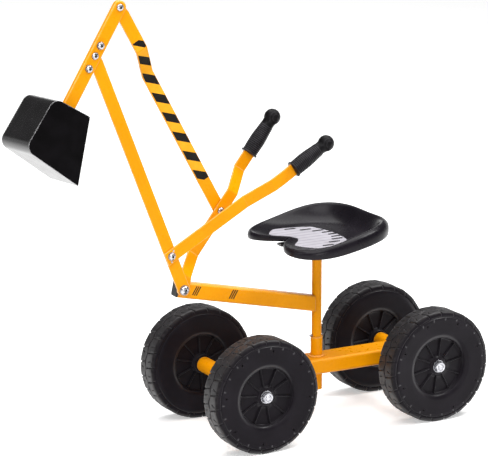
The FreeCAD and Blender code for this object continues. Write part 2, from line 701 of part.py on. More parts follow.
def left_handle_bar():
    """Bar on the boom's outer face, joggled out to the left at the grip."""
    start = step(HANDLE_BOLT, HANDLE_DIR, -HANDLE_TAIL)
    end = step(HANDLE_KNEE, HANDLE_GRIP_DIR, HANDLE_GRIP_LEG)
    course = [(0.0, Y_HANDLE), (HANDLE_TAIL + 147.5, Y_HANDLE),
              (HANDLE_TAIL + 195.0, Y_HANDLE_GRIP), (HANDLE_TAIL + 305.0, Y_HANDLE_GRIP)]
    bar = joggled_bar([start, HANDLE_KNEE, end], course)
    # the lower end is trimmed along the boom's front edge
    beyond_boom = xz_prism([boom_point(-40, -10.0), boom_point(200, -10.0),
                            boom_point(200, -80.0), boom_point(-40, -80.0)], 0, 60)
    return drill(one(bar.cut(beyond_boom)), HANDLE_HOLES, 0, 40)


def grip_profile():
    """(radius, distance along): flange, ribbed barrel, waist and ball end."""
    profile = [(0, 0), (12.9, 0), (13.5, 0.6), (13.5, 2.0), (12.6, 2.6)]
    ribs, pitch, first = 16, 3.0, 3.6
    for k in range(ribs):
        z = first + k * pitch
        t = (k + 0.5) / ribs
        r = 11.3 + 0.9 * math.sin(math.pi * min(1.0, t * 1.08)) - 0.3 * t
        profile += [(r - 0.45, z), (r + 0.15, z + 0.6), (r + 0.15, z + 1.9), (r - 0.45, z + 2.5)]
    z = first + pitch * ribs
    profile += [(10.9, z + 0.4), (10.9, z + 2.6)]
    ball_r, ball_z = 12.9, 68.0
    ball_start, ball_end, ball_steps = -50.0, 58.0, 11
    for k in range(ball_steps + 1):
        ray = polar(ball_start + k * (ball_end - ball_start) / ball_steps)
        profile.append((ball_r * ray[0], ball_z + ball_r * ray[1]))
    # shallow ring and a button in the middle of the end
    z = ball_z + ball_r * polar(ball_end)[1]
    return profile + [(5.6, z + 0.9), (5.0, z + 0.2), (3.4, z + 0.2), (2.8, z + 1.1),
                      (0.0, z + 1.4)]


def grip(flange, direction, mid_y):
    """Moulded grip over a flat bar, from its flange end along direction."""
    points = [V(r, 0, z) for r, z in grip_profile()]
    body = Part.Face(Part.makePolygon(points + [points[0]])).revolve(V(0, 0, 0), V(0, 0, 1), 360)
    # blind slot for the bar
    body = body.cut(box(-BAR_W / 2, BAR_W / 2, -BAR_T / 2, BAR_T / 2, -1, GRIP_DEEP + 0.5))
    # local Z runs along the bar, local Y stays across the machine
    z_axis = V(direction[0], 0, direction[1])
    y_axis = V(0, 1, 0)
    turn = FreeCAD.Rotation(y_axis.cross(z_axis), y_axis, z_axis, "ZXY")
    body.Placement = FreeCAD.Placement(V(flange[0], mid_y, flange[1]), turn)
    return one(body)


export("boom_bar", boom_bar())
export("left_handle_bar", left_handle_bar())
export("handle_screw", button_screw(HANDLE_BOLT, HANDLE_Y1 + HANDLE_WASHER_T, 8.6, head_h=3.6))
export("handle_screw_washer", washer(HANDLE_BOLT, HANDLE_Y1, HANDLE_Y1 + HANDLE_WASHER_T, 6.4))
export("handle_nut", nut(HANDLE_BOLT, BOOM_Y0 - 4.9, BOOM_Y0))
export("handle_locating_pins", group([
    one(cylinder("y", pip, BOOM_Y0, HANDLE_Y1 + 0.5, PIP_R)) for pip in PIPS]))
export("left_grip", grip(step(HANDLE_KNEE, HANDLE_GRIP_DIR, HANDLE_GRIP_LEG - GRIP_DEEP),
                         HANDLE_GRIP_DIR, Y_HANDLE_GRIP))

# =====================================================================
# 5. Right lever
# =====================================================================
LEVER_LEAVES = (240.0, 267.1)      # the lever leaves the beam's left side here
LEVER_KNEE = (215.4, 294.5)        # and has crossed to the right side here
LEVER_JOG0 = (145.3, 383.4)        # upper joggle, out to the grip
LEVER_JOG1 = (122.8, 415.0)
LEVER_DIR = polar(127.9)
LEVER_LEG = 231.5                  # knee to the grip end of the bar
LEVER_MID_Y0, LEVER_MID_Y1 = bar_faces(Y_LEVER_MID)
LINK_Y0, LINK_Y1 = bar_faces(Y_LINK_LOW)
LEVER_WASHER_Y = LINK_Y0 - 1.0     # right face of the washer under the nut


def right_lever_bar():
    end = step(LEVER_KNEE, LEVER_DIR, LEVER_LEG)
    chord = unit(BASE_PIVOT, end)
    stations = [(distance_along(point, BASE_PIVOT, chord), y) for point, y in (
        (LEVER_LEAVES, Y_LEVER), (LEVER_KNEE, Y_LEVER_MID),
        (LEVER_JOG0, Y_LEVER_MID), (LEVER_JOG1, Y_LEVER_GRIP))]
    course = [(-20.0, Y_LEVER)] + stations
    course.append((distance_along(end, BASE_PIVOT, chord) + 5, Y_LEVER_GRIP))
    bar = joggled_bar([BASE_PIVOT, LEVER_LEAVES, LEVER_KNEE, end], course, start_r=10.0)
    bar = bar.cut(cylinder("y", BASE_PIVOT, 0, 40, BASE_PIVOT_R + RUN))
    return bar.cut(cylinder("y", LEVER_PIVOT, -20, 0, PIN_R))


export("right_lever_bar", right_lever_bar())
export("right_grip", grip(step(LEVER_KNEE, LEVER_DIR, LEVER_LEG - GRIP_DEEP), LEVER_DIR,
                          Y_LEVER_GRIP))
export("lever_link_screw", button_screw(LEVER_PIVOT, LEVER_MID_Y1, LINK_Y0 - 6.2))
export("lever_link_washers", group([
    washer(LEVER_PIVOT, LINK_Y1 + PLAY, LEVER_MID_Y0, 6.2),
    washer(LEVER_PIVOT, LEVER_WASHER_Y, LINK_Y0 - PLAY, 6.2)]))
export("lever_link_nut", nut(LEVER_PIVOT, LINK_Y0 - 5.9, LEVER_WASHER_Y))

# =====================================================================
# 6. Link
# =====================================================================
LINK_JOG0, LINK_JOG1 = 257.0, 306.0    # the joggle, along the link from the lever pivot
LINK_NOSE = 14.0                       # length of the tapered nose


def link_bar():
    """Bar from the lever up to the dipper, crossing over to the boom's plane."""
    direction = unit(LEVER_PIVOT, LINK_TOP)
    side = left_of(direction)
    length = math.dist(LEVER_PIVOT, LINK_TOP)
    course = [(-12.0, Y_LINK_LOW), (LINK_JOG0, Y_LINK_LOW), (LINK_JOG1, Y_BOOM),
              (length + 12, Y_BOOM)]
    end = step(LEVER_PIVOT, direction, length - LINK_NOSE)
    bar = joggled_bar([LEVER_PIVOT, end], course, start_r=10.0)
    # narrow rounded nose inside the dipper channel
    nose_r = 7.0
    nose = xz_prism([step(end, side, 10), step(end, side, -10), step(LINK_TOP, side, -nose_r),
                     step(LINK_TOP, side, nose_r)], BOOM_Y0, BOOM_Y1)
    nose = nose.fuse(cylinder("y", LINK_TOP, BOOM_Y0, BOOM_Y1, nose_r))
    bar = one(bar.fuse(nose))
    bar = bar.cut(cylinder("y", LEVER_PIVOT, -40, 0, PIN_R + RUN))
    return bar.cut(cylinder("y", LINK_TOP, 0, 40, LINK_SLACK_R))


export("link_bar", link_bar())

# =====================================================================
# 7. Dipper
# =====================================================================
DIPPER_DIR = polar(-59.0)
DIPPER_FORWARD = left_of(DIPPER_DIR)
DIPPER_Y0 = 10.6                   # right and left outside faces of the channel
DIPPER_Y1 = 19.1
DIPPER_T = 2.0                     # flanges
DIPPER_WEB = 1.5
DIPPER_IN_Y0, DIPPER_IN_Y1 = DIPPER_Y0 + DIPPER_T, DIPPER_Y1 - DIPPER_T
DIPPER_FRONT, DIPPER_BACK = 10.0, -11.0
DIPPER_TOP = distance_along(LINK_TOP, ELBOW, DIPPER_DIR)
DIPPER_END = 124.0


def dipper_point(along, forward):
    """Point along the dipper from the elbow pivot, and forward of its line."""
    return step(step(ELBOW, DIPPER_DIR, along), DIPPER_FORWARD, forward)


STOP_BOLTS = (dipper_point(-17.3, 0.0), dipper_point(20.9, -0.4))
BUCKET_BOLTS = (dipper_point(99.8, -0.5), dipper_point(115.8, -0.5))


def dipper_arm():
    """Channel open to the back, with a rounded top end."""
    top_centre = dipper_point(DIPPER_TOP, -0.5)
    body = xz_prism([dipper_point(DIPPER_TOP, DIPPER_FRONT),
                     dipper_point(DIPPER_END, DIPPER_FRONT),
                     dipper_point(DIPPER_END, DIPPER_BACK),
                     dipper_point(DIPPER_TOP, DIPPER_BACK)], DIPPER_Y0, DIPPER_Y1)
    body = one(body.fuse(cylinder("y", top_centre, DIPPER_Y0, DIPPER_Y1, 10.5)))
    web_edges = []
    for edge in body.Edges:
        if len(edge.Vertexes) == 2:
            a, b = edge.Vertexes[0].Point, edge.Vertexes[1].Point
            run = b.sub(a)
            if (run.Length > 100 and abs(abs(run.normalize().dot(
                    V(DIPPER_DIR[0], 0, DIPPER_DIR[1]))) - 1) < 1e-4
                    and distance_along((a.x, a.z), ELBOW, DIPPER_FORWARD) > 0):
                web_edges.append(edge)
    # the web's outside corners stay sharp if the fillet fails
    try:
        rounded = body.makeFillet(2.2, web_edges)
        if rounded.isValid():
            body = rounded
    except Exception:
        pass
    web_inside = DIPPER_FRONT - DIPPER_WEB
    gap = xz_prism([dipper_point(DIPPER_TOP, web_inside),
                    dipper_point(DIPPER_END + 5, web_inside),
                    dipper_point(DIPPER_END + 5, DIPPER_BACK - 5),
                    dipper_point(DIPPER_TOP - 30, DIPPER_BACK - 5),
                    dipper_point(DIPPER_TOP - 30, 4.0),
                    dipper_point(DIPPER_TOP - 6.0, 6.5)], DIPPER_IN_Y0, DIPPER_IN_Y1)
    gap = gap.fuse(cylinder("y", top_centre, DIPPER_IN_Y0, DIPPER_IN_Y1, 9.0))
    bolts = (ELBOW, LINK_TOP) + STOP_BOLTS + BUCKET_BOLTS
    return one(drill(body.cut(gap), [(bolt, PIN_R) for bolt in bolts], 0, 40))


def dipper_screw(centre, head_y=DIPPER_Y1):
    return button_screw(centre, head_y, DIPPER_Y0 - 6.0)


def dipper_nut(centre):
    return nut(centre, DIPPER_Y0 - 5.0, DIPPER_Y0)


export("dipper_arm", dipper_arm())
for joint_name, joint in (("elbow", ELBOW), ("link_top", LINK_TOP)):
    export(joint_name + "_screw", dipper_screw(joint))
    export(joint_name + "_nut", dipper_nut(joint))
    export(joint_name + "_washers", group([
        washer(joint, DIPPER_IN_Y0, BOOM_Y0 - PLAY, 6.2),
        washer(joint, BOOM_Y1 + PLAY, DIPPER_IN_Y1, 6.2)]))
STOP_WASHER_Y = DIPPER_Y1 + 1.6
export("dipper_stop_screws", group([dipper_screw(c, STOP_WASHER_Y) for c in STOP_BOLTS]))
export("dipper_stop_washers", group([
    washer(c, DIPPER_Y1, STOP_WASHER_Y, 6.0) for c in STOP_BOLTS]))
export("dipper_stop_nuts", group([dipper_nut(c) for c in STOP_BOLTS]))
export("dipper_spacers", group([
    tube("y", c, DIPPER_IN_Y0, DIPPER_IN_Y1, 3.7, PIN_R) for c in STOP_BOLTS]))

# =====================================================================
# 8. Bucket
# =====================================================================
BUCKET_Y0, BUCKET_Y1 = -33.15, 62.85
BUCKET_T = 1.5
BUCKET_R = 15.0                    # the two corners away from the mouth
BUCKET_MOUTH_TOP = (423.0, 541.4)
BUCKET_TOP_FRONT = (478.3, 574.9)
BUCKET_LOW_FRONT = (529.2, 503.7)
BUCKET_LIP = (447.5, 441.1)
BUCKET_OUTLINE = (BUCKET_MOUTH_TOP, BUCKET_TOP_FRONT, BUCKET_LOW_FRONT, BUCKET_LIP)
BUCKET_ROLL = 4.2                  # degrees about X, right side low
BUCKET_ROLL_Z = 510.0              # height it turns at
EAR_T = 2.0                        # bracket plate


def meet(line_a, line_b):
    """Where two (point, direction) lines cross."""
    (p, u), (q, w) = line_a, line_b
    det = u[0] * w[1] - u[1] * w[0]
    return step(p, u, ((q[0] - p[0]) * w[1] - (q[1] - p[1]) * w[0]) / det)


def rounding(before, corner, after, radius):
    """Start, middle and end of the arc that rounds a corner."""
    back, ahead = unit(corner, before), unit(corner, after)
    angle = math.acos(back[0] * ahead[0] + back[1] * ahead[1])
    tangent = radius / math.tan(angle / 2)
    bisector = unit((0, 0), (back[0] + ahead[0], back[1] + ahead[1]))
    centre = step(corner, bisector, radius / math.sin(angle / 2))
    return (step(corner, back, tangent), step(centre, bisector, -radius),
            step(corner, ahead, tangent))


def bucket_face(offset, y):
    """Bucket side outline, its walls moved inwards by offset but not its mouth."""
    lines = []
    for i, start in enumerate(BUCKET_OUTLINE):
        along = unit(start, BUCKET_OUTLINE[(i + 1) % 4])
        inward = (along[1], -along[0])
        lines.append((step(start, inward, offset if i < 3 else 0.0), along))
    corners = [meet(lines[i - 1], lines[i]) for i in range(4)]
    arcs = [rounding(corners[i - 1], corners[i], corners[i + 1], BUCKET_R - offset)
            for i in (1, 2)]
    first = previous = V(corners[0][0], y, corners[0][1])
    edges = []
    for arc in arcs:
        start, middle, end = [V(x, y, z) for x, z in arc]
        edges.append(Part.makeLine(previous, start))
        edges.append(Part.Arc(start, middle, end).toShape())
        previous = end
    lip = V(corners[3][0], y, corners[3][1])
    edges.append(Part.makeLine(previous, lip))
    edges.append(Part.makeLine(lip, first))
    return Part.Face(Part.Wire(edges))


def roll(shape):
    """The bucket sits rolled a few degrees on its bracket, right side low."""
    rolled = shape.copy()
    rolled.rotate(V(0, BUCKET_Y1, BUCKET_ROLL_Z), V(1, 0, 0), BUCKET_ROLL)
    return rolled


def dipper_slot():
    """Clearance round the dipper's lower end."""
    fit = 0.3
    front, back = DIPPER_FRONT + fit, DIPPER_BACK - fit
    return xz_prism([dipper_point(60, front), dipper_point(125, front),
                     dipper_point(125, back), dipper_point(60, back)],
                    DIPPER_Y0 - fit, DIPPER_Y1 + fit)


def bucket_shell():
    """Top, front and bottom plates between the sides, slotted for the dipper."""
    y0 = BUCKET_Y0 + BUCKET_T
    width = V(0, BUCKET_Y1 - BUCKET_Y0 - 2 * BUCKET_T, 0)
    shell = bucket_face(0.0, y0).extrude(width)
    shell = one(shell.cut(bucket_face(BUCKET_T, y0).extrude(width)))
    return one(roll(shell).cut(dipper_slot()))


def bucket_side(y0):
    return one(roll(bucket_face(0.0, y0).extrude(V(0, BUCKET_T, 0))))


def plate_point(along, below):
    """Point along the top plate from the mouth corner, and below its inside."""
    along_plate = unit(BUCKET_MOUTH_TOP, BUCKET_TOP_FRONT)
    into_bucket = (along_plate[1], -along_plate[0])
    return step(step(BUCKET_MOUTH_TOP, along_plate, along), into_bucket, BUCKET_T + below)


def plate_slab(along0, along1, below0, below1, y0, y1):
    return xz_prism([plate_point(along0, below0), plate_point(along1, below0),
                     plate_point(along1, below1), plate_point(along0, below1)], y0, y1)


def bucket_bracket():
    """U bracket under the bucket's top plate, holding the dipper's end."""
    start, end, foot_w = 4.0, 44.0, 14.0
    ears = xz_prism([plate_point(start, 0.0), plate_point(end, 0.0),
                     dipper_point(122.0, 10.0), dipper_point(124.0, 6.0),
                     dipper_point(124.0, -8.0), dipper_point(122.0, -10.5)],
                    DIPPER_Y0 - EAR_T, DIPPER_Y1 + EAR_T)
    ears = ears.cut(plate_slab(-20, 90, -2.0, 90.0, DIPPER_Y0, DIPPER_Y1))
    right_foot = plate_slab(start, end, 0.0, EAR_T, DIPPER_Y0 - foot_w, DIPPER_Y0)
    left_foot = plate_slab(start, end, 0.0, EAR_T, DIPPER_Y1, DIPPER_Y1 + foot_w)
    bridge = plate_slab(33.0, end, 0.0, EAR_T, DIPPER_Y0 - 1, DIPPER_Y1 + 1)
    # the feet lie against the rolled top plate, and the ears stop at it
    ears = ears.cut(roll(plate_slab(-40, 110, 0.0, -40.0, -70, 110)))
    bracket = ears.fuse([roll(right_foot), roll(left_foot), roll(bridge)])
    bracket = bracket.cut(dipper_slot())
    return one(drill(bracket, [(bolt, PIN_R) for bolt in BUCKET_BOLTS], -10, 50))


export("bucket_shell", bucket_shell())
export("bucket_right_side", bucket_side(BUCKET_Y0))
export("bucket_left_side", bucket_side(BUCKET_Y1 - BUCKET_T))
export("bucket_bracket", bucket_bracket())
export("bucket_screws", group([
    button_screw(c, DIPPER_Y1 + EAR_T, DIPPER_Y0 - 8.0) for c in BUCKET_BOLTS]))
export("bucket_nuts", group([
    nut(c, DIPPER_Y0 - EAR_T - 5.0, DIPPER_Y0 - EAR_T) for c in BUCKET_BOLTS]))
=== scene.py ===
"""Looks for a four-wheeled ride-on with a swivelling seat, a boom and hand levers.

Front is +X, left is +Y, up is +Z, and the wheels stand on z = 0.  Sizes of pieces
are in millimetres, with x measured from the swivel post; materials, lights and the
camera work in metres in the row frame.
"""
import bpy
import bmesh
import json
import math
import numpy as np
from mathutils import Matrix, Quaternion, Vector
from mathutils.bvhtree import BVHTree

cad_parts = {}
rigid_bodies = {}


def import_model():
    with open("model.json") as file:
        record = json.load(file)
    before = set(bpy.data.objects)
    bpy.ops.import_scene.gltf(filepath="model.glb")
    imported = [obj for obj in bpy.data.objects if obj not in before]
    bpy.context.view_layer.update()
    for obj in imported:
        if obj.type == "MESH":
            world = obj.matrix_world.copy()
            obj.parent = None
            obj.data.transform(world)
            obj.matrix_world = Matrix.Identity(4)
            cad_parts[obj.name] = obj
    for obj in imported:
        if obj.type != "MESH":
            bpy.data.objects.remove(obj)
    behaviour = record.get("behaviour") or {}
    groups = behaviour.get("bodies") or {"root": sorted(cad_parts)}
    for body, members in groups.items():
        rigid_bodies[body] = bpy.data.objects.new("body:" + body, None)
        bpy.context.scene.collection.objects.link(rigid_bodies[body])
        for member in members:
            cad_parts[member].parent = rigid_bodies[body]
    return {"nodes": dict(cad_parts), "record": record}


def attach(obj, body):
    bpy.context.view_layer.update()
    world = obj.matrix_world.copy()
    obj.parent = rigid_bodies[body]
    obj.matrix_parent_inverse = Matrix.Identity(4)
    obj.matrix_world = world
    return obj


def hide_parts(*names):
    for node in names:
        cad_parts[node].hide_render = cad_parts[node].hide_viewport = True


for old in list(bpy.data.objects):
    bpy.data.objects.remove(old)
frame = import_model()
bpy.context.view_layer.update()
NODES = frame["nodes"]
SCENE = bpy.context.scene
COLLECTION = SCENE.collection
MM = 0.001
POST_X = -136.674      # the swivel post's X in the row frame, mm


def to_scene(x, y, z):
    """Millimetres from the swivel post to metres in the row frame."""
    return ((x + POST_X) * MM, y * MM, z * MM)


# ------------------------------------------------------------------ shader graphs
class Graph:
    """A node tree, with short calls for the nodes used most."""

    def __init__(self, tree):
        self.tree = tree
        tree.nodes.clear()

    def link(self, source, target):
        self.tree.links.new(source, target)

    def feed(self, socket, value):
        """Link a socket into the input, or set the input's value."""
        if isinstance(value, bpy.types.NodeSocket):
            self.link(value, socket)
        elif socket.type == "RGBA":
            socket.default_value = (*value, 1.0)
        else:
            socket.default_value = value

    def node(self, kind, inputs=None, **settings):
        node = self.tree.nodes.new(kind)
        for key, value in settings.items():
            setattr(node, key, value)
        for key, value in (inputs or {}).items():
            if value is not None:
                self.feed(node.inputs[key], value)
        return node

    def math(self, operation, first, second=None):
        return self.node("ShaderNodeMath", {0: first, 1: second}, operation=operation).outputs[0]

    def plus(self, first, second):
        return self.math("ADD", first, second)

    def times(self, value, by):
        return self.math("MULTIPLY", value, by)

    def inverse(self, value):
        return self.math("SUBTRACT", 1.0, value)

    def dot(self, first, second):
        node = self.node("ShaderNodeVectorMath", {0: first, 1: second}, operation="DOT_PRODUCT")
        return node.outputs["Value"]

    def ramp(self, source, low, high, start=0.0, end=1.0):
        """Go smoothly from start to end as the source goes from low to high."""
        inputs = {"From Min": low, "From Max": high, "To Min": start, "To Max": end,
                  "Value": source}
        node = self.node("ShaderNodeMapRange", inputs, interpolation_type="SMOOTHSTEP")
        return node.outputs["Result"]


class Material(Graph):
    """A principled material with its textures in object space."""

    def __init__(self, name):
        self.data = bpy.data.materials.new(name)
        self.data.use_nodes = True
        super().__init__(self.data.node_tree)
        output = self.node("ShaderNodeOutputMaterial")
        self.principled = self.node("ShaderNodeBsdfPrincipled")
        self.link(self.principled.outputs[0], output.inputs[0])
        self.position = self.node("ShaderNodeTexCoord").outputs["Object"]

    def noise(self, scale, detail=3.0, roughness=0.55, vector=None):
        inputs = {"Scale": scale, "Detail": detail, "Roughness": roughness,
                  "Vector": vector or self.position}
        return self.node("ShaderNodeTexNoise", inputs).outputs["Fac"]

    def patches(self, scale, detail=4.0, low=0.3, high=0.75, start=0.0, end=1.0, **noise):
        """Noise ramped from start to end."""
        return self.ramp(self.noise(scale, detail, **noise), low, high, start, end)

    def mix(self, amount, base, over):
        inputs = {0: amount, 6: base, 7: over}
        return self.node("ShaderNodeMix", inputs, data_type="RGBA").outputs[2]

    def mottle(self, dark, light, scale, detail=4.0, low=0.35, high=0.7, **noise):
        """Two colours in soft patches."""
        return self.mix(self.patches(scale, detail, low, high, **noise), dark, light)

    def attribute(self, name):
        return self.node("ShaderNodeAttribute", attribute_name=name).outputs["Fac"]

    def bevel(self, radius):
        return self.node("ShaderNodeBevel", {"Radius": radius}, samples=4).outputs[0]

    def alignment(self, rounded):
        """1 on flats, less where the rounded normal leaves the true one."""
        true_normal = self.node("ShaderNodeNewGeometry").outputs["Normal"]
        return self.dot(rounded, true_normal)

    def near_corner(self, alignment, low, high):
        return self.inverse(self.ramp(alignment, low, high))

    def shade_recesses(self, color, distance, low, high, amount, over):
        """Paint shade into the recesses found within the distance, as a laid-in colour."""
        occlusion = self.node("ShaderNodeAmbientOcclusion", {"Distance": distance}, samples=6)
        recess = self.ramp(occlusion.outputs["AO"], low, high, start=amount, end=0.0)
        return self.mix(recess, color, over)

    def by_angle(self, low, high, start=0.0, end=1.0):
        """From start, seen square on, to end at grazing view."""
        facing = self.node("ShaderNodeLayerWeight", {"Blend": 0.5}).outputs["Facing"]
        return self.ramp(facing, low, high, start, end)

    def bump(self, height, strength, distance, normal=None):
        inputs = {"Strength": strength, "Distance": distance, "Height": height,
                  "Normal": normal}
        return self.node("ShaderNodeBump", inputs).outputs[0]

    def grain(self, scale, strength, distance, detail=2.0, normal=None):
        return self.bump(self.noise(scale, detail), strength, distance, normal)

    def surface(self, **inputs):
        """Feed the principled shader; underscores stand for spaces."""
        for key, value in inputs.items():
            self.feed(self.principled.inputs[key.replace("_", " ")], value)
        return self.data


def orange_paint():
    """Gloss powder coat: slight orange peel, painted shade in the recesses, painted highlights
    along the corners and bends.
    """
    m = Material("looks_orange_paint")
    color = m.mottle(scale=9.0, detail=3.0, high=0.65,
                     dark=(0.86, 0.318, 0.0006), light=(0.93, 0.356, 0.0010))
    speckle = m.patches(scale=260.0, roughness=0.6, end=0.16)
    color = m.mix(speckle, color, over=(0.62, 0.19, 0.004))
    # Painted shade in the recesses.
    color = m.shade_recesses(color, distance=0.006, low=0.15, high=0.85, amount=0.75,
                             over=(0.36, 0.10, 0.004))
    rounded = m.bevel(radius=0.0011)
    alignment = m.alignment(rounded)
    # Painted highlight along the corners, pale orange in patches.
    corner_highlight = m.times(m.near_corner(alignment, low=0.80, high=0.985),
                   by=m.patches(scale=420.0, detail=3.0, low=0.42, high=0.7, start=0.12, end=0.5))
    color = m.mix(corner_highlight, color, over=(1.0, 0.56, 0.12))
    # Painted highlight along each corner and bend, in patches.
    bend_highlight = m.times(m.near_corner(alignment, low=0.9890, high=0.9985),
                    by=m.patches(scale=60.0, detail=2.0, low=0.35, high=0.65,
                                 start=0.35, end=0.75))
    color = m.mix(bend_highlight, color, over=(1.0, 0.78, 0.42))
    peel = m.plus(m.noise(scale=900.0, detail=2.0),
                  m.times(m.noise(scale=160.0, detail=2.0), by=1.6))
    return m.surface(
        Base_Color=color,
        Roughness=m.patches(scale=120.0, high=0.72, start=0.26, end=0.40),
        Normal=m.bump(peel, strength=0.10, distance=0.00035, normal=rounded),
        Specular_IOR_Level=m.by_angle(low=0.25, high=0.75, start=0.10, end=0.5))


def black_paint():
    """Black gloss coat with faint level streaks and a painted highlight along the corners."""
    m = Material("looks_black_paint")
    color = m.mottle(scale=30.0, dark=(0.0030, 0.0027, 0.0030), light=(0.0052, 0.0046, 0.0054))
    flattened = m.node("ShaderNodeMapping", {"Scale": (60.0, 60.0, 900.0), "Vector": m.position})
    streaks = m.patches(scale=1.0, detail=3.0, roughness=0.6, vector=flattened.outputs[0],
                        low=0.70, high=0.88, end=0.07)
    color = m.mix(streaks, color, over=(0.03, 0.028, 0.03))
    rounded = m.bevel(radius=0.0013)
    # Painted highlight along the corners, in patches.
    rim = m.times(m.near_corner(m.alignment(rounded), low=0.80, high=0.975),
                  by=m.patches(scale=45.0, detail=3.0, low=0.35, high=0.65, start=0.45, end=0.95))
    color = m.mix(rim, color, over=(0.78, 0.77, 0.79))
    return m.surface(
        Base_Color=color,
        Roughness=m.patches(scale=75.0, start=0.15, end=0.23),
        Normal=m.grain(scale=260.0, detail=3.0, strength=0.035, distance=0.0003, normal=rounded),
        Specular_IOR_Level=m.by_angle(low=0.25, high=0.72, start=0.035, end=1.0))


def seat_plastic():
    """Satin moulded plastic, smoother on the level panel, which a painted reflection turns pale at
    grazing view except in its grooves.
    """
    m = Material("looks_seat_plastic")
    color = m.mottle(scale=16.0, detail=3.0,
                     dark=(0.0070, 0.0056, 0.0082), light=(0.0100, 0.0080, 0.0116))
    roughness = m.patches(scale=60.0, start=0.25, end=0.33)
    polish_and_reflection_mask = m.attribute("panel")
    roughness = m.math("SUBTRACT", roughness, m.times(polish_and_reflection_mask, by=0.13))
    # Painted reflection: the panel turns pale towards grazing view, in patches, but not in its
    # grooves and slots.
    painted_reflection = m.times(polish_and_reflection_mask, by=m.by_angle(low=0.58, high=0.73))
    painted_reflection = m.times(painted_reflection, by=m.patches(scale=38.0, detail=3.0, high=0.7, start=0.88))
    groove = m.ramp(m.attribute("groove"), low=0.05, high=0.9, end=0.82)
    painted_reflection = m.times(painted_reflection, by=m.inverse(groove))
    return m.surface(
        Base_Color=m.mix(painted_reflection, color, over=(0.52, 0.50, 0.55)),
        Roughness=roughness,
        Normal=m.grain(scale=1500.0, strength=0.02, distance=0.0002),
        Specular_IOR_Level=m.by_angle(low=0.30, high=0.80, start=0.16, end=0.28))


def wheel_plastic():
    """Moulded wheel: dusty tread, darker smooth sidewall with pale tick marks, painted shade in the
    recesses.
    """
    m = Material("looks_wheel_plastic")
    x, _, z = m.node("ShaderNodeSeparateXYZ", {0: m.position}).outputs
    radius = m.math("SQRT", m.plus(m.times(x, by=x), m.times(z, by=z)))
    tread = m.ramp(radius, low=0.0855, high=0.0888)
    side = m.mottle(scale=22.0, high=0.72,
                    dark=(0.0090, 0.0074, 0.0098), light=(0.0130, 0.0108, 0.0142))
    dust = m.mottle(scale=140.0, detail=5.0, roughness=0.65,
                    dark=(0.0095, 0.0083, 0.0095), light=(0.024, 0.021, 0.0225))
    color = m.mix(tread, side, dust)
    cells = m.node("ShaderNodeTexVoronoi", {"Scale": 520.0, "Vector": m.position})
    specks = m.ramp(cells.outputs["Distance"], low=0.03, high=0.10, start=0.5, end=0.0)
    color = m.mix(m.times(specks, by=tread), color, over=(0.10, 0.09, 0.095))
    color = m.mix(m.times(m.attribute("tick"), by=0.9), color, over=(0.052, 0.050, 0.055))
    # Painted shade in the grooves and recesses.
    color = m.shade_recesses(color, distance=0.004, low=0.1, high=0.8, amount=0.9,
                             over=(0.003, 0.003, 0.0033))
    roughness = m.plus(m.patches(scale=90.0, start=0.36, end=0.50), m.times(tread, by=0.06))
    height = m.plus(m.noise(scale=1100.0, detail=2.0),
                    m.times(m.noise(scale=230.0), by=m.times(tread, by=3.0)))
    return m.surface(
        Base_Color=color,
        Roughness=roughness,
        Normal=m.bump(height, strength=0.12, distance=0.0003),
        Specular_IOR_Level=m.by_angle(low=0.165, high=0.32, start=0.07, end=0.42))


def grip_rubber():
    """Dull rubber, with painted shade in the grooves and a painted highlight along the rib crests
    and the rings on the ball.
    """
    m = Material("looks_grip_rubber")
    color = m.mottle(scale=55.0, dark=(0.0034, 0.0030, 0.0036), light=(0.0066, 0.0060, 0.0070))
    # Painted shade in the grooves.
    color = m.shade_recesses(color, distance=0.0022, low=0.2, high=0.9, amount=0.8,
                             over=(0.004, 0.004, 0.004))
    # Painted highlight on the rib crests and beside the rings on the ball, in patches.
    crest = m.times(m.attribute("rib"),
                    by=m.patches(scale=90.0, detail=3.0, high=0.7, start=0.4, end=0.9))
    return m.surface(
        Base_Color=m.mix(crest, color, over=(0.046, 0.042, 0.050)),
        Roughness=m.patches(scale=130.0, start=0.34, end=0.5),
        Normal=m.grain(scale=1300.0, strength=0.15, distance=0.00025),
        Specular_IOR_Level=m.by_angle(low=0.3, high=0.85, start=0.10, end=0.4))


def black_plastic():
    """Plain black plastic with a fine grain."""
    m = Material("looks_black_plastic")
    return m.surface(
        Base_Color=m.mottle(scale=80.0, dark=(0.006, 0.006, 0.0066), light=(0.011, 0.010, 0.0115)),
        Roughness=m.patches(scale=110.0, start=0.30, end=0.44),
        Normal=m.grain(scale=1200.0, strength=0.12, distance=0.0002,
                       normal=m.bevel(radius=0.0005)),
        Specular_IOR_Level=0.45)


def zinc_steel():
    """Bright zinc plate: faint spangle, painted shade in the recesses."""
    m = Material("looks_zinc_steel")
    color = m.mottle(scale=420.0, detail=3.0, low=0.3, high=0.75,
                     dark=(0.34, 0.34, 0.37), light=(0.66, 0.66, 0.69))
    return m.surface(
        # Painted shade in the recesses.
        Base_Color=m.shade_recesses(color, distance=0.0035, low=0.35, high=0.95, amount=1.0,
                                    over=(0.008, 0.008, 0.012)),
        Roughness=m.patches(scale=300.0, start=0.16, end=0.34),
        Normal=m.grain(scale=1600.0, strength=0.10, distance=0.00015,
                       normal=m.bevel(radius=0.0004)),
        Metallic=0.9)


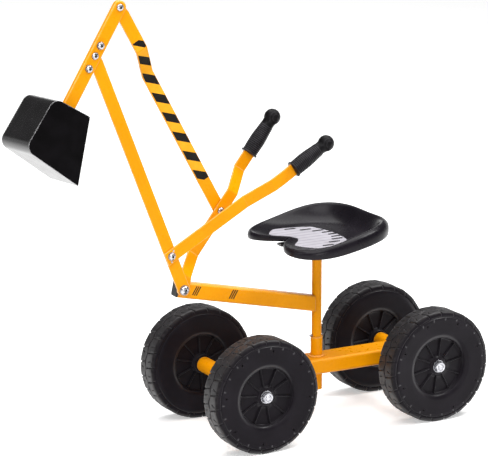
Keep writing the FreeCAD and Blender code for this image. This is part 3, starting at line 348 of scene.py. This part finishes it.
def sticker(name, dark, light):
    """Printed film with fine brown specks."""
    m = Material(name)
    color = m.mottle(dark, light, scale=90.0, low=0.3, high=0.75)
    specks = m.patches(scale=1500.0, detail=2.0, low=0.62, high=0.8, end=0.22)
    return m.surface(
        Base_Color=m.mix(specks, color, over=(0.3, 0.22, 0.12)),
        Roughness=m.patches(scale=220.0, detail=3.0, start=0.28, end=0.42),
        Normal=m.grain(scale=500.0, detail=3.0, strength=0.08, distance=0.0002),
        Specular_IOR_Level=m.by_angle(low=0.45, high=0.85, start=0.14, end=0.5))


LOOKS = {
    "orange_paint": orange_paint(), "black_paint": black_paint(),
    "seat_plastic": seat_plastic(), "wheel_plastic": wheel_plastic(),
    "grip_rubber": grip_rubber(), "black_plastic": black_plastic(),
    "zinc_steel": zinc_steel(),
}
SLOT_OF = {part["node"]: part["material_slot"] for part in frame["record"]["subparts"]}
for node_name, piece in NODES.items():
    look = LOOKS[SLOT_OF[node_name]]
    if not piece.data.materials:
        piece.data.materials.append(look)
    for i in range(len(piece.data.materials)):
        piece.data.materials[i] = look


# ------------------------------------------------------------------ mesh helpers
def add_object(name, mesh):
    obj = bpy.data.objects.new(name, mesh)
    COLLECTION.objects.link(obj)
    return obj


def add_mesh(name, verts, faces, material):
    mesh = bpy.data.meshes.new(name)
    mesh.from_pydata([tuple(v) for v in verts], [], [tuple(f) for f in faces])
    mesh.validate()
    mesh.materials.append(material)
    mesh.polygons.foreach_set("use_smooth", [True] * len(mesh.polygons))
    mesh.update()
    return add_object(name, mesh)


def point_attribute(mesh, name, values):
    mesh.attributes.new(name, "FLOAT", "POINT").data.foreach_set("value", values)


def weld(mesh, distance):
    """Merge doubled points and turn the faces outward."""
    bm = bmesh.new()
    bm.from_mesh(mesh)
    bmesh.ops.remove_doubles(bm, verts=bm.verts, dist=distance)
    bmesh.ops.recalc_face_normals(bm, faces=bm.faces)
    bm.to_mesh(mesh)
    bm.free()


def ring_faces(base, rows, count):
    """Quads between closed rings of points laid one after another."""
    return [(base + row * count + k, base + row * count + (k + 1) % count,
             base + (row + 1) * count + (k + 1) % count, base + (row + 1) * count + k)
            for row in range(rows - 1) for k in range(count)]


def arc(centre, radius, start, end, steps):
    """Points on a circle between two angles in degrees."""
    angles = [math.radians(start + (end - start) * k / steps) for k in range(steps + 1)]
    return [(centre[0] + radius * math.cos(a), centre[1] + radius * math.sin(a))
            for a in angles]


# ------------------------------------------------------------------ wheels
# Profiles are (radius, v), where v runs from the inner face (0) to the outer (WIDTH).
WIDTH, WHEEL_R = 46.0, 90.0
LUGS = 23                       # tread repeats and tick marks round the wheel
LUG_PITCH = 2 * math.pi * WHEEL_R / LUGS
BORE_R = 5.1
OUTER_FLOOR, INNER_FLOOR = WIDTH - 12.0, 9.0
CORNER = 1.6                    # fillet of the dish floors
TICK_R0 = 76.8                  # where the tick marks start
TICK_LIFT = 0.55
GROOVE_DEPTH = 1.9
RIB_COUNT, RIB_HALF, RIB_STEPS = 10, 0.85, 7


def mirrored(profile):
    """The same profile measured from the other face."""
    return [(radius, WIDTH - v) for radius, v in profile]


# Sidewall by either face: the dish lip's long soft radius, then nearly flat.
LIP_ANGLES = [math.radians(180 - 90 * k / 12) for k in range(1, 13)]
SIDEWALL = [(54.5 + 8.5 * math.cos(a), 7.0 - 6.55 * math.sin(a)) for a in LIP_ANGLES]
SIDEWALL += [(60.0, 0.38), (68.0, 0.2), (75.0, 0.05)]

# Hub end, tapered boss, dish floor, dish wall and sidewall of the outer side.
OUTER_DISH = [
    (BORE_R, WIDTH - 11.0), (BORE_R, WIDTH - 7.1), (13.6, WIDTH - 7.1),
    *arc((13.6, WIDTH - 7.9), 0.8, 90, 10, 3), (15.6, WIDTH - 9.6), (17.6, WIDTH - 11.0),
    *arc((19.6, OUTER_FLOOR + CORNER), CORNER, 225, 270, 2),
    (26.0, OUTER_FLOOR), (34.0, OUTER_FLOOR), (41.5, OUTER_FLOOR),
    *arc((43.4, OUTER_FLOOR + CORNER), CORNER, 270, 350, 4),
    (45.4, WIDTH - 8.6), (45.9, WIDTH - 7.2), *mirrored(SIDEWALL),
]
# Outer ring of the sidewall, down into the groove by the shoulder.
TICK_RING = mirrored([
    (75.0, 0.05), (76.6, 0.0), (77.0, 0.0), (77.2, 0.0), (79.0, 0.02), (80.6, 0.1),
    (80.9, 0.4), (81.5, 1.4), (82.2, 1.45),
])
SHOULDER = [(82.2, 1.45), (82.9, 1.0), (84.2, 1.2), *arc((84.0, 7.2), 6.0, 275, 350, 8)]
TREAD = [
    *SHOULDER, *[(WHEEL_R, v) for v in np.linspace(9.6, WIDTH - 9.6, 34)],
    *mirrored(reversed(SHOULDER)),
]
# Sidewall, dish and long hub of the inner side.
INNER_DISH = [
    (82.2, 1.45), (81.5, 1.4), (80.9, 0.4), (80.5, 0.1), *reversed(SIDEWALL),
    (45.9, 7.2), (45.4, 8.0), *arc((43.4, INNER_FLOOR - CORNER), CORNER, 10, 90, 4),
    (34.0, INNER_FLOOR), (26.0, INNER_FLOOR), (17.0, INNER_FLOOR), (16.0, 8.0), (15.5, 6.5),
    (15.3, 0.0), (14.6, -1.6), (14.0, -1.9), (BORE_R, -1.9), (BORE_R, 2.0),
]


def lug_phase(theta):
    return (theta * LUGS / (2 * math.pi)) % 1.0


def tick_distance(theta, radius):
    """Distance round the wheel to the middle of the tick mark."""
    return np.abs(lug_phase(theta) - 0.5) / LUGS * 2 * math.pi * radius


def raise_ticks(theta, radius, v):
    lift = np.clip(1.0 - (tick_distance(theta, radius) / 0.75) ** 4, 0.0, 1.0)
    inside = (radius > TICK_R0) & (radius < 80.8)
    return radius, v + np.where(inside, TICK_LIFT * lift, 0.0)


def mark_ticks(theta, radius):
    inside = (tick_distance(theta, radius) < 1.0) & (TICK_R0 < radius < 80.2)
    return np.where(inside, 1.0, 0.0)


def cut(distance, half_width):
    """A groove's section: 1 at its middle, 0 beyond its half width."""
    return np.clip(1.0 - (np.abs(distance) / half_width) ** 2.5, 0.0, 1.0)


def groove_mask(theta, v):
    """How deep the tread is cut, 0 to 1."""
    def from_repeat(phase):
        return ((phase + 0.5) % 1.0 - 0.5) * LUG_PITCH

    phase = lug_phase(theta)
    across = (v - WIDTH / 2) / (WIDTH / 2)
    depth = np.zeros_like(theta)
    for side, offset in ((1, 0.0), (-1, 0.5)):
        outward = across * side
        # a slanting groove from near the middle to the shoulder
        groove = cut(from_repeat(phase + offset - 0.256 * across), 1.35)
        depth = np.maximum(depth, groove * np.clip((outward - 0.16) / 0.08, 0.0, 1.0))
        # a short narrow cut half way out
        short = cut(from_repeat(phase + offset + 0.4 + 0.30 * outward), 0.9)
        gate = (np.clip((outward - 0.30) / 0.06, 0.0, 1.0)
                * np.clip((0.66 - outward) / 0.06, 0.0, 1.0))
        depth = np.maximum(depth, 0.8 * short * gate)
    # a zigzag line round the middle
    zigzag = (np.abs(phase - 0.5) * 2.0 - 0.5) * 4.2
    return np.maximum(depth, 0.75 * cut(v - WIDTH / 2 - zigzag, 0.9))


def shape_tread(theta, radius, v):
    """Sink the grooves and swell the lugs, fading out at the shoulders' foot."""
    fade = np.clip((radius - 82.0) / 5.0, 0.0, 1.0)
    groove = groove_mask(theta, v)
    offset = 0.0 if v[0] > WIDTH / 2 else 0.5
    crown = 0.35 * np.cos(2 * math.pi * (lug_phase(theta) + offset))
    sunk = radius * (1.0 - GROOVE_DEPTH * groove * fade / WHEEL_R)
    side = np.where(v > WIDTH - 10, 1.0, np.where(v < 10, -1.0, 0.0))
    return sunk + 0.35 * fade + crown * fade * 0.6, v - side * 0.5 * groove * fade


class WheelSurface:
    """Axis along Y, with the middle of the outer face at the origin, facing +Y."""

    def __init__(self):
        self.verts, self.faces, self.ticks = [], [], []

    def lathe(self, profile, count, shape=None, mark=None):
        base = len(self.verts)
        theta = np.arange(count) * 2 * math.pi / count
        for radius, v in profile:
            self.ticks.extend(mark(theta, radius) if mark else np.zeros(count))
            radii, across = np.full(count, float(radius)), np.full(count, float(v))
            if shape:
                radii, across = shape(theta, radii, across)
            self.verts += zip(radii * np.cos(theta), across - WIDTH, radii * np.sin(theta))
        self.faces += ring_faces(base, len(profile), count)

    def rib(self, angle, start, end, root, top):
        """A radial rib with a rounded top, from radius start to end."""
        along = (math.cos(angle), math.sin(angle))
        rise = 1.0 if top > root else -1.0
        half = [(RIB_HALF + 0.25, root), (RIB_HALF, top - 0.6 * rise),
                (RIB_HALF - 0.35, top - 0.12 * rise), (RIB_HALF - 0.7, top)]
        section = [(-side, v) for side, v in half] + half[::-1]
        base, count = len(self.verts), len(section)
        for j in range(RIB_STEPS + 1):
            r = start + (end - start) * (j / RIB_STEPS)
            self.verts += [(r * along[0] - side * along[1], v - WIDTH,
                            r * along[1] + side * along[0]) for side, v in section]
            self.ticks += [0.0] * count
        faces = []
        for j in range(RIB_STEPS):
            for k in range(count - 1):
                a = base + j * count + k
                faces.append((a, a + 1, a + count + 1, a + count))
        last = base + RIB_STEPS * count
        faces.append(tuple(range(base, base + count))[::-1])
        faces.append(tuple(range(last, last + count)))
        self.faces += faces if rise > 0 else [face[::-1] for face in faces]


def wheel_mesh():
    surface = WheelSurface()
    surface.lathe(OUTER_DISH, 200)
    surface.lathe(TICK_RING, LUGS * 24, raise_ticks, mark_ticks)
    surface.lathe(TREAD, LUGS * 26, shape_tread)
    surface.lathe(INNER_DISH, 160)
    for k in range(RIB_COUNT):
        angle = math.radians(360.0 / RIB_COUNT * k)
        surface.rib(angle, 15.0, 45.4, root=OUTER_FLOOR - 0.4, top=WIDTH - 8.4)
        surface.rib(angle + 0.1, 14.6, 45.4, root=INNER_FLOOR + 0.4, top=5.6)

    mesh = bpy.data.meshes.new("wheel_detail")
    mesh.from_pydata([(x * MM, y * MM, z * MM) for x, y, z in surface.verts], [], surface.faces)
    mesh.materials.append(LOOKS["wheel_plastic"])
    point_attribute(mesh, "tick", surface.ticks)
    weld(mesh, distance=2e-6)
    mesh.polygons.foreach_set("use_smooth", [True] * len(mesh.polygons))
    mesh.set_sharp_from_angle(angle=math.radians(42))
    return mesh


AXLE_X = 160.3
FRONT_FACE_Y, REAR_FACE_Y = 129.1, 116.3
# name, axle x, distance of the outer face from the middle, side, turn in degrees
WHEELS = [
    ("front_left", AXLE_X, FRONT_FACE_Y, 1, 7.0),
    ("front_right", AXLE_X, FRONT_FACE_Y, -1, 16.0),
    ("rear_left", -AXLE_X, REAR_FACE_Y, 1, 25.0),
    ("rear_right", -AXLE_X, REAR_FACE_Y, -1, 33.0),
]
wheel = wheel_mesh()
for tag, axle_x, face_y, side, turn in WHEELS:
    # The right wheels face the other way.
    spin = Quaternion((0, 1, 0), -math.radians(turn))
    flip = Quaternion((0, 0, 1), math.pi) if side < 0 else Quaternion()
    mesh = wheel.copy()
    mesh.transform((flip @ spin).to_matrix().to_4x4())
    mesh.name = "wheel_moulding_" + tag
    obj = add_object("wheel_moulding_" + tag, mesh)
    obj.location = to_scene(axle_x, side * face_y, WHEEL_R)
    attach(obj, tag + "_wheel")
    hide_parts("wheel_" + tag)

# ------------------------------------------------------------------ seat pan
SEAT_X = -0.9                  # centre of the pan
SEAT_UNDER, SEAT_THICK = 293.5, 4.0
SEAT_TOP = SEAT_UNDER + SEAT_THICK
SEAT_HUB_R = 14.0              # innermost ring of the pan
SEAT_ANGLES = 288
# Cosine series in the angle from straight ahead.
RIM_RADIUS = (107.8, -2.6, -8.1, -2.0, -6.6, -1.0)
RIM_HEIGHT = (315.0, -15.6, -0.3, 3.5)
SKIRT_DEPTH = (17.6, -6.0, -3.5)
NOTCH_DEPTH, NOTCH_ANGLE = 33.2, 0.38      # notch at the front of the rim


def cosine_series(terms, angle):
    return sum(term * math.cos(i * angle) for i, term in enumerate(terms))


def bspline(control, per_span):
    """Points on the clamped uniform cubic B-spline with these control points."""
    points = np.array(control, float)
    spans = len(points) - 3
    knots = np.concatenate([[0, 0, 0], np.arange(spans + 1), [spans] * 3]).astype(float)
    params = np.linspace(0, spans, spans * per_span + 1)
    params[-1] -= 1e-9
    curve = []
    for t in params:
        first = int(np.searchsorted(knots, t, side="right") - 1) - 3
        local = [points[first + j].copy() for j in range(4)]
        for level in range(1, 4):
            for j in range(3, level - 1, -1):
                low, high = knots[first + j], knots[first + j + 4 - level]
                share = (t - low) / (high - low)
                local[j] = (1 - share) * local[j - 1] + share * local[j]
        curve.append(local[3])
    return curve


def seat_section(angle):
    """(radius, z) from the middle of the top, over the rim and back underneath."""
    rim = cosine_series(RIM_RADIUS, angle)
    wrapped = (angle + math.pi) % (2 * math.pi) - math.pi
    rim -= NOTCH_DEPTH * math.exp(-(wrapped / NOTCH_ANGLE) ** 2)
    height = cosine_series(RIM_HEIGHT, angle)
    skirt = cosine_series(SKIRT_DEPTH, angle)
    crest = rim - max(4.4, 0.40 * skirt)
    rise = height - SEAT_TOP
    # The bowl's points are (share of the crest radius, share of the rise).
    top = [(crest * out, SEAT_TOP + rise * up)
           for out, up in ((0.45, 0.0), (0.64, 0.02), (0.78, 0.16), (0.90, 0.62))]
    edge = [
        (crest - 4.5, height - 1.2), (crest + 0.3, height + 1.0),
        (rim - 0.3 * (rim - crest), height - 0.08 * skirt),
        (rim + 1.0, height - 0.38 * skirt), (rim + 0.3, height - skirt),
        (rim - 2.2, height - skirt), (rim - 2.9, height - 0.48 * skirt),
        (crest - 3.4, height - 5.8),
    ]
    under = [(crest * out, SEAT_UNDER + rise * up)
             for out, up in ((0.86, 0.52), (0.75, 0.11), (0.61, 0.01), (0.45, 0.0))]
    return bspline([(SEAT_HUB_R, SEAT_TOP), *top, *edge, *under, (SEAT_HUB_R, SEAT_UNDER)],
                   per_span=5)


def seat_pan():
    verts, faces = [], []
    for k in range(SEAT_ANGLES):
        angle = 2 * math.pi * k / SEAT_ANGLES
        section = seat_section(angle)
        verts += [(SEAT_X + r * math.cos(angle), r * math.sin(angle), z) for r, z in section]
    rows = len(section)
    columns = [(k * rows, (k + 1) % SEAT_ANGLES * rows) for k in range(SEAT_ANGLES)]
    for here, beyond in columns:
        faces += [(here + j, here + j + 1, beyond + j + 1, beyond + j) for j in range(rows - 1)]
    # fans that close the middle, above and below
    for j, z, step in ((0, SEAT_TOP, 1), (rows - 1, SEAT_UNDER, -1)):
        centre = len(verts)
        verts.append((SEAT_X, 0.0, z))
        faces += [(centre, here + j, beyond + j)[::step] for here, beyond in columns]
    return add_mesh("seat_moulding", [to_scene(*v) for v in verts], faces,
                    LOOKS["seat_plastic"])


# ------------------------------------------------------------------ seat panel
PANEL_STEP = 1.5
PANEL_EDGE = 1.6               # width of the soft edge
PANEL_LIFT = 0.9
PANEL_X = 8.0                  # centre of the outline's two half ellipses
PANEL_REAR, PANEL_FRONT, PANEL_SIDE = 44.0, 64.0, 84.0      # their half axes
PANEL_FRONT_X = 62.0           # straight front edge
GROOVE_PITCH, GROOVE_SINK = 15.0, 0.25
SLOT_HALF, SLOT_R, SLOT_SOFT, SLOT_DEPTH = 7.0, 2.6, 0.9, 2.0


def panel_distance(x, y):
    """Rough distance to the panel's outline, negative inside."""
    dx = x - PANEL_X
    axis = PANEL_REAR if dx < 0 else PANEL_FRONT
    reach = axis if abs(dx) > abs(y) * 0.6 else 60.0
    around = (math.hypot(dx / axis, y / PANEL_SIDE) - 1.0) * reach
    notch = 70.0 - 33.0 * math.exp(-(y / 30.0) ** 2)
    return max(around, x - min(notch, PANEL_FRONT_X))


def slot_mask(x, y):
    """Nine fore-and-aft slots in a curved row along the rear edge, 0 to 1."""
    deepest = 0.0
    for k in range(-4, 5):
        slot_y = GROOVE_PITCH * k
        slot_x = -30.0 + 0.0125 * slot_y * slot_y
        gap = math.hypot(max(abs(x - slot_x) - SLOT_HALF, 0.0), abs(y - slot_y))
        deepest = max(deepest, min(1.0, max(0.0, (SLOT_R - gap) / SLOT_SOFT)))
    return deepest


def groove_line(y, width):
    """1 on a fore-and-aft groove, falling to 0 beside it."""
    wave = 0.5 - 0.5 * math.cos(2 * math.pi * y / GROOVE_PITCH)
    return max(0.0, 1.0 - wave / width)


def panel_height(x, y):
    edge = min(1.0, max(0.0, -panel_distance(x, y) / PANEL_EDGE))
    edge = edge * edge * (3 - 2 * edge)
    sink = GROOVE_SINK * groove_line(y, 0.10) + SLOT_DEPTH * slot_mask(x, y)
    return SEAT_TOP + 0.02 + (PANEL_LIFT - sink) * edge


def seat_panel():
    """The raised level panel in the bowl, with shallow grooves and a row of slots."""
    verts, index = [], {}
    for i, x in enumerate(np.arange(-42.0, 66.0 + PANEL_STEP, PANEL_STEP)):
        for j, y in enumerate(np.arange(-88.5, 88.5 + PANEL_STEP, PANEL_STEP)):
            if panel_distance(x, y) < PANEL_EDGE:
                index[i, j] = len(verts)
                verts.append((x, y, panel_height(x, y)))
    faces = []
    for i, j in index:
        corners = [(i, j), (i + 1, j), (i + 1, j + 1), (i, j + 1)]
        if all(corner in index for corner in corners):
            faces.append([index[corner] for corner in corners])
    panel = add_mesh("seat_level_panel", [to_scene(*v) for v in verts], faces,
                     LOOKS["seat_plastic"])
    # The panel mask gives the smoother finish and the painted reflection; the groove mask keeps the
    # painted reflection out of the grooves and slots.
    point_attribute(panel.data, "panel", [1.0] * len(verts))
    point_attribute(panel.data, "groove", [max(0.55 * groove_line(y, 0.12), slot_mask(x, y))
                                           for x, y, _ in verts])
    return panel


seat = seat_pan()
for obj in (seat, seat_panel()):
    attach(obj, "seat_and_beam")
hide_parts("seat_pan")

# ------------------------------------------------------------------ stickers
DARK = sticker("looks_sticker_black", dark=(0.0045, 0.0035, 0.003), light=(0.010, 0.008, 0.006))
GROUND = sticker("looks_sticker_yellow", dark=(0.90, 0.385, 0.012), light=(0.95, 0.425, 0.020))
SLASH = sticker("looks_sticker_slash", dark=(0.012, 0.006, 0.003), light=(0.022, 0.011, 0.005))

# The link bar's own axes: u along the bar, v across it.
LINK_ORIGIN = (167.1, 355.9)               # x, z
LINK_AXIS = (0.48150, 0.87645)             # direction of u in x, z
LINK_U, LINK_V = (58.4, 322.6), (-8.5, 9.3)
LINK_STEPS = (90, 5)
LINK_ENDS = (57.9, 325.5)                  # slanted ends, as u at v = 0
STRIPE_SLANT = 0.94                        # fall in u per unit of v
STRIPE_START, STRIPE_PITCH, STRIPE_WIDTH = 95.3, 36.2, 17.3


def link_sticker():
    """Striped film laid on the left face of the link bar."""
    link = NODES["link_bar"].data
    bar = BVHTree.FromPolygons([v.co for v in link.vertices], [p.vertices for p in link.polygons])
    bm = bmesh.new()
    (u0, u1), (v0, v1) = LINK_U, LINK_V
    nu, nv = LINK_STEPS
    grid = [[bm.verts.new((u0 + (u1 - u0) * i / nu, v0 + (v1 - v0) * j / nv, 0))
             for j in range(nv + 1)] for i in range(nu + 1)]
    for i in range(nu):
        for j in range(nv):
            bm.faces.new((grid[i][j], grid[i + 1][j], grid[i + 1][j + 1], grid[i][j + 1]))
    # Trim both ends, then cut along both edges of every stripe.
    cuts = [*LINK_ENDS]
    cuts += [STRIPE_START + STRIPE_PITCH * k for k in range(-1, 7)]
    cuts += [STRIPE_START + STRIPE_WIDTH + STRIPE_PITCH * k for k in range(-2, 7)]
    for n, u in enumerate(cuts):
        bmesh.ops.bisect_plane(
            bm, geom=list(bm.verts) + list(bm.edges) + list(bm.faces), dist=1e-5,
            plane_co=Vector((u, 0, 0)), plane_no=Vector((1.0, STRIPE_SLANT, 0.0)).normalized(),
            clear_inner=(n == 0), clear_outer=(n == 1))
    for face in bm.faces:
        centre = face.calc_center_median()
        along = (centre.x + STRIPE_SLANT * centre.y - STRIPE_START) % STRIPE_PITCH
        face.material_index = 1 if along < STRIPE_WIDTH else 0
        face.smooth = True
    # Drop each point onto the bar from the left.
    (x0, z0), (ux, uz) = LINK_ORIGIN, LINK_AXIS
    for vert in bm.verts:
        u, v = vert.co.x, vert.co.y
        start = Vector(to_scene(x0 + ux * u - uz * v, 100.0, z0 + uz * u + ux * v))
        hit = bar.ray_cast(start, Vector((0, -1, 0)))[0]
        y = hit.y if hit is not None else 0.016
        vert.co = Vector((start.x, y + 0.00012, start.z))
    bmesh.ops.recalc_face_normals(bm, faces=bm.faces)
    mesh = bpy.data.meshes.new("link_striped_sticker")
    bm.to_mesh(mesh)
    bm.free()
    mesh.materials.append(GROUND)
    mesh.materials.append(DARK)
    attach(add_object("link_striped_sticker", mesh), "link")


BEAM_ORIGIN = (245.3, 243.5)               # x, z
BEAM_SLOPE = math.atan(0.2228)
BEAM_FACE_Y = 10.09
SLASH_COUNT, SLASH_WIDTH, SLASH_GAP, SLASH_STEPS = 3, 1.9, 1.35, 8
# Each group: (front, rear) along the beam at its foot, the same at its head,
# and the (foot, head) heights across the beam.
SLASH_GROUPS = [
    ((-18.2, -27.0), (-23.4, -32.2), (-6.0, 8.6)),
    ((-84.2, -93.6), (-89.2, -98.6), (-5.4, 9.4)),
]


def beam_slashes():
    """Two groups of slanted bars on the beam's left face."""
    verts, faces = [], []
    cos, sin = math.cos(BEAM_SLOPE), math.sin(BEAM_SLOPE)
    span = SLASH_COUNT * SLASH_WIDTH + (SLASH_COUNT - 1) * SLASH_GAP
    for foot, head, (low, high) in SLASH_GROUPS:
        for k in range(SLASH_COUNT):
            start = k * (SLASH_WIDTH + SLASH_GAP)
            base = len(verts)
            for j in range(SLASH_STEPS + 1):
                t = j / SLASH_STEPS
                across = low + (high - low) * t
                front, rear = (foot[i] + (head[i] - foot[i]) * t for i in range(2))
                for share in (start / span, (start + SLASH_WIDTH) / span):
                    along = front + (rear - front) * share
                    verts.append(to_scene(BEAM_ORIGIN[0] + along * cos - across * sin,
                                          BEAM_FACE_Y,
                                          BEAM_ORIGIN[1] + along * sin + across * cos))
            for q in range(base, base + 2 * SLASH_STEPS, 2):
                faces.append((q, q + 1, q + 3, q + 2))
    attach(add_mesh("beam_slash_stickers", verts, faces, SLASH), "seat_and_beam")


link_sticker()
beam_slashes()

# ------------------------------------------------------------------ grips
GRIP_SEGMENTS = 96
GRIP_RIBS, RIB_ROWS = 16, 8                # ribs on the barrel, profile rows in each
BARREL_Z0, BARREL_Z1 = 3.4, 51.4
NECK_R = 9.9
BALL_R, BALL_Z, BALL_STEPS = 12.9, 68.0, 40


def grip_profile():
    """(radius, z, painted highlight on the rib crests) from the flange, up the barrel and over the
    ball.
    """
    profile = [(0.0, 0.0, 0), (12.9, 0.0, 0), (13.4, 0.5, 0.5), (13.4, 1.9, 0.5), (12.7, 2.5, 0)]
    rows = GRIP_RIBS * RIB_ROWS
    for k in range(rows):
        t = k / rows
        swell = 0.55 * math.sin(math.pi * min(1.0, t * 1.25))
        taper = 1.35 * max(0.0, t - 0.45) ** 1.5 / 0.41
        crest = 0.5 - 0.5 * math.cos(2 * math.pi * (k % RIB_ROWS) / RIB_ROWS)
        profile.append((11.9 + swell - taper - 0.38 + 0.55 * crest ** 0.7,
                        BARREL_Z0 + t * (BARREL_Z1 - BARREL_Z0),
                        max(0.0, (crest - 0.55) / 0.45)))
    profile += [(10.35, BARREL_Z1 + 0.8, 0), (NECK_R, BARREL_Z1 + 3.0, 0)]
    start = 4.0 - math.degrees(math.acos(NECK_R / BALL_R))
    ball = arc((0.0, BALL_Z), BALL_R, start, 90.0, BALL_STEPS)
    return profile + [(r, z, 0) for r, z in ball]


def hand_grip(node, body, foot, axis, y):
    """Flange, ribbed barrel, neck and ball; foot and axis are in (x, z)."""
    def bell(distance, middle, width):
        return math.exp(-((distance - middle) / width) ** 2)

    up = Vector((axis[0], 0.0, axis[1])).normalized()
    left = Vector((0.0, 1.0, 0.0))
    fore = left.cross(up)
    base = Vector((foot[0] + POST_X, y, foot[1]))
    profile = grip_profile()
    verts, painted_highlights = [], []
    for radius, height, shade in profile:
        on_ball = height > BALL_Z - BALL_R * 0.62 and radius > 0.01
        for j in range(GRIP_SEGMENTS):
            theta = 2 * math.pi * j / GRIP_SEGMENTS
            x, y, z = radius * math.cos(theta), radius * math.sin(theta), height
            if on_ball:
                # Two fine rings on each cheek, about the machine's Y, each with a painted highlight
                # beside it.  The painted highlight carries on from one cheek's last point to the
                # next cheek.
                point = Vector((x, y, z - BALL_Z))
                off = math.sqrt(point.x ** 2 + point.z ** 2)
                if abs(point.y) > 4.0:
                    dip = 0.42 * bell(off, 4.0, 0.75) + 0.42 * bell(off, 7.9, 0.75)
                    x, y, z = point * (1.0 - dip / BALL_R)
                    z += BALL_Z
                    shade = 0.55 * bell(off, 5.5, 0.5) + 0.5 * bell(off, 9.3, 0.5)
            verts.append((base + fore * x + left * y + up * z) * MM)
            painted_highlights.append(shade)
    faces = ring_faces(0, len(profile), GRIP_SEGMENTS)
    obj = add_mesh(node + "_moulding", verts, faces, LOOKS["grip_rubber"])
    # The rib attribute carries the painted highlight.
    point_attribute(obj.data, "rib", painted_highlights)
    weld(obj.data, distance=1e-7)
    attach(obj, body)
    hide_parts(node)


hand_grip("left_grip", "boom", foot=(60.8104, 417.5874), axis=(-0.85264, 0.52250), y=30.0)
hand_grip("right_grip", "right_lever", foot=(105.1358, 436.1406), axis=(-0.61429, 0.78908),
          y=-32.5)

# ------------------------------------------------------------------ stage
FLOOR_HALF = 14.0


def floor_material():
    """White sweep: bright to the camera and in reflections, softer in its bounce."""
    m = Material("stage_floor")
    color = m.mottle(scale=1.6, low=0.3, high=0.75, dark=(0.90, 0.90, 0.90),
                     light=(0.94, 0.94, 0.94))
    ray = m.node("ShaderNodeLightPath").outputs
    glow = m.plus(m.times(ray["Is Camera Ray"], by=0.42), m.times(ray["Is Glossy Ray"], by=0.25))
    return m.surface(
        Base_Color=m.mix(ray["Is Diffuse Ray"], color, over=(0.74, 0.74, 0.74)),
        Roughness=0.9, Specular_IOR_Level=0.0,
        Emission_Color=(1.0, 1.0, 1.0), Emission_Strength=glow)


def add_floor():
    corners = [(x * FLOOR_HALF, y * FLOOR_HALF, 0) for x, y in ((-1, -1), (1, -1), (1, 1), (-1, 1))]
    material = floor_material()
    mesh = bpy.data.meshes.new("floor")
    mesh.from_pydata(corners, [], [(0, 1, 2, 3)])
    mesh.materials.append(material)
    add_object("floor", mesh)


def add_world():
    """A bright low wall all round, brightest behind, a dim room and a soft top."""
    world = bpy.data.worlds.new("studio")
    SCENE.world = world
    world.use_nodes = True
    g = Graph(world.node_tree)
    output = g.node("ShaderNodeOutputWorld")
    background = g.node("ShaderNodeBackground", {"Color": (1.0, 1.0, 1.0)})
    g.link(background.outputs[0], output.inputs[0])
    direction = g.node("ShaderNodeTexCoord").outputs["Generated"]
    height = g.node("ShaderNodeSeparateXYZ", {0: direction}).outputs["Z"]
    wall = g.ramp(height, low=0.10, high=0.22, start=1.0, end=0.0)
    top = g.ramp(height, low=0.72, high=0.92)
    away_from_camera = (-0.49, -0.87, 0.0)
    behind = g.ramp(g.dot(direction, away_from_camera), low=0.72, high=0.92, start=0.45, end=1.4)
    room = 0.10
    strength = g.plus(g.plus(g.times(wall, by=behind), top), room)
    g.link(strength, background.inputs["Strength"])


# name, place, target, size (m), power (W)
LIGHTS = [
    ("key_soft", (1.2, 1.6, 2.9), (0.0, 0.0, 0.25), (2.2, 1.8), 59.0),
    ("left_soft", (2.6, 0.2, 1.5), (0.0, 0.0, 0.3), (1.6, 1.6), 16.0),
    ("top_soft", (-0.3, -0.6, 3.0), (0.0, 0.0, 0.2), (2.6, 2.2), 62.0),
    ("camera_fill", (0.9, 3.4, 0.9), (0.0, 0.0, 0.25), (1.4, 1.0), 24.0),
    ("rear_card", (-1.35, 0.7, 2.3), (-0.15, 0.0, 0.2), (0.9, 0.7), 34.0),
]


def aim(obj, direction):
    obj.rotation_mode = "QUATERNION"
    obj.rotation_quaternion = direction.to_track_quat("-Z", "Y")


def add_lights():
    for name, place, target, size, power in LIGHTS:
        light = bpy.data.lights.new(name, "AREA")
        light.shape = "RECTANGLE"
        light.size, light.size_y = size
        light.energy = power
        obj = add_object(name, light)
        obj.location = place
        aim(obj, Vector(target) - Vector(place))


CAMERA_PLACE = (2.0719, 3.7482, 1.3698)
# Bearing from +Y towards +X, height above level, and roll, in radians.
CAMERA_BEARING, CAMERA_RISE, CAMERA_ROLL = (math.radians(a) for a in (29.02, 13.69, 0.03))


def add_camera():
    camera = bpy.data.cameras.new("camera")
    obj = add_object("camera", camera)
    SCENE.camera = obj
    obj.location = CAMERA_PLACE
    backward = Vector((math.sin(CAMERA_BEARING) * math.cos(CAMERA_RISE),
                       math.cos(CAMERA_BEARING) * math.cos(CAMERA_RISE), math.sin(CAMERA_RISE)))
    aim(obj, -backward)
    obj.rotation_quaternion = obj.rotation_quaternion @ Quaternion((0, 0, 1), CAMERA_ROLL)
    camera.sensor_width = 36.0
    camera.sensor_fit = "HORIZONTAL"
    camera.lens = 209.85
    camera.shift_x = -0.00270492
    camera.shift_y = 0.000696721
    camera.clip_start, camera.clip_end = 0.05, 60.0


add_floor()
add_world()
add_lights()
add_camera()
SCENE.view_settings.view_transform = "Standard"
SCENE.view_settings.look = "None"
SCENE.view_settings.exposure = 0.0
SCENE.view_settings.gamma = 1.0

bpy.context.view_layer.update()
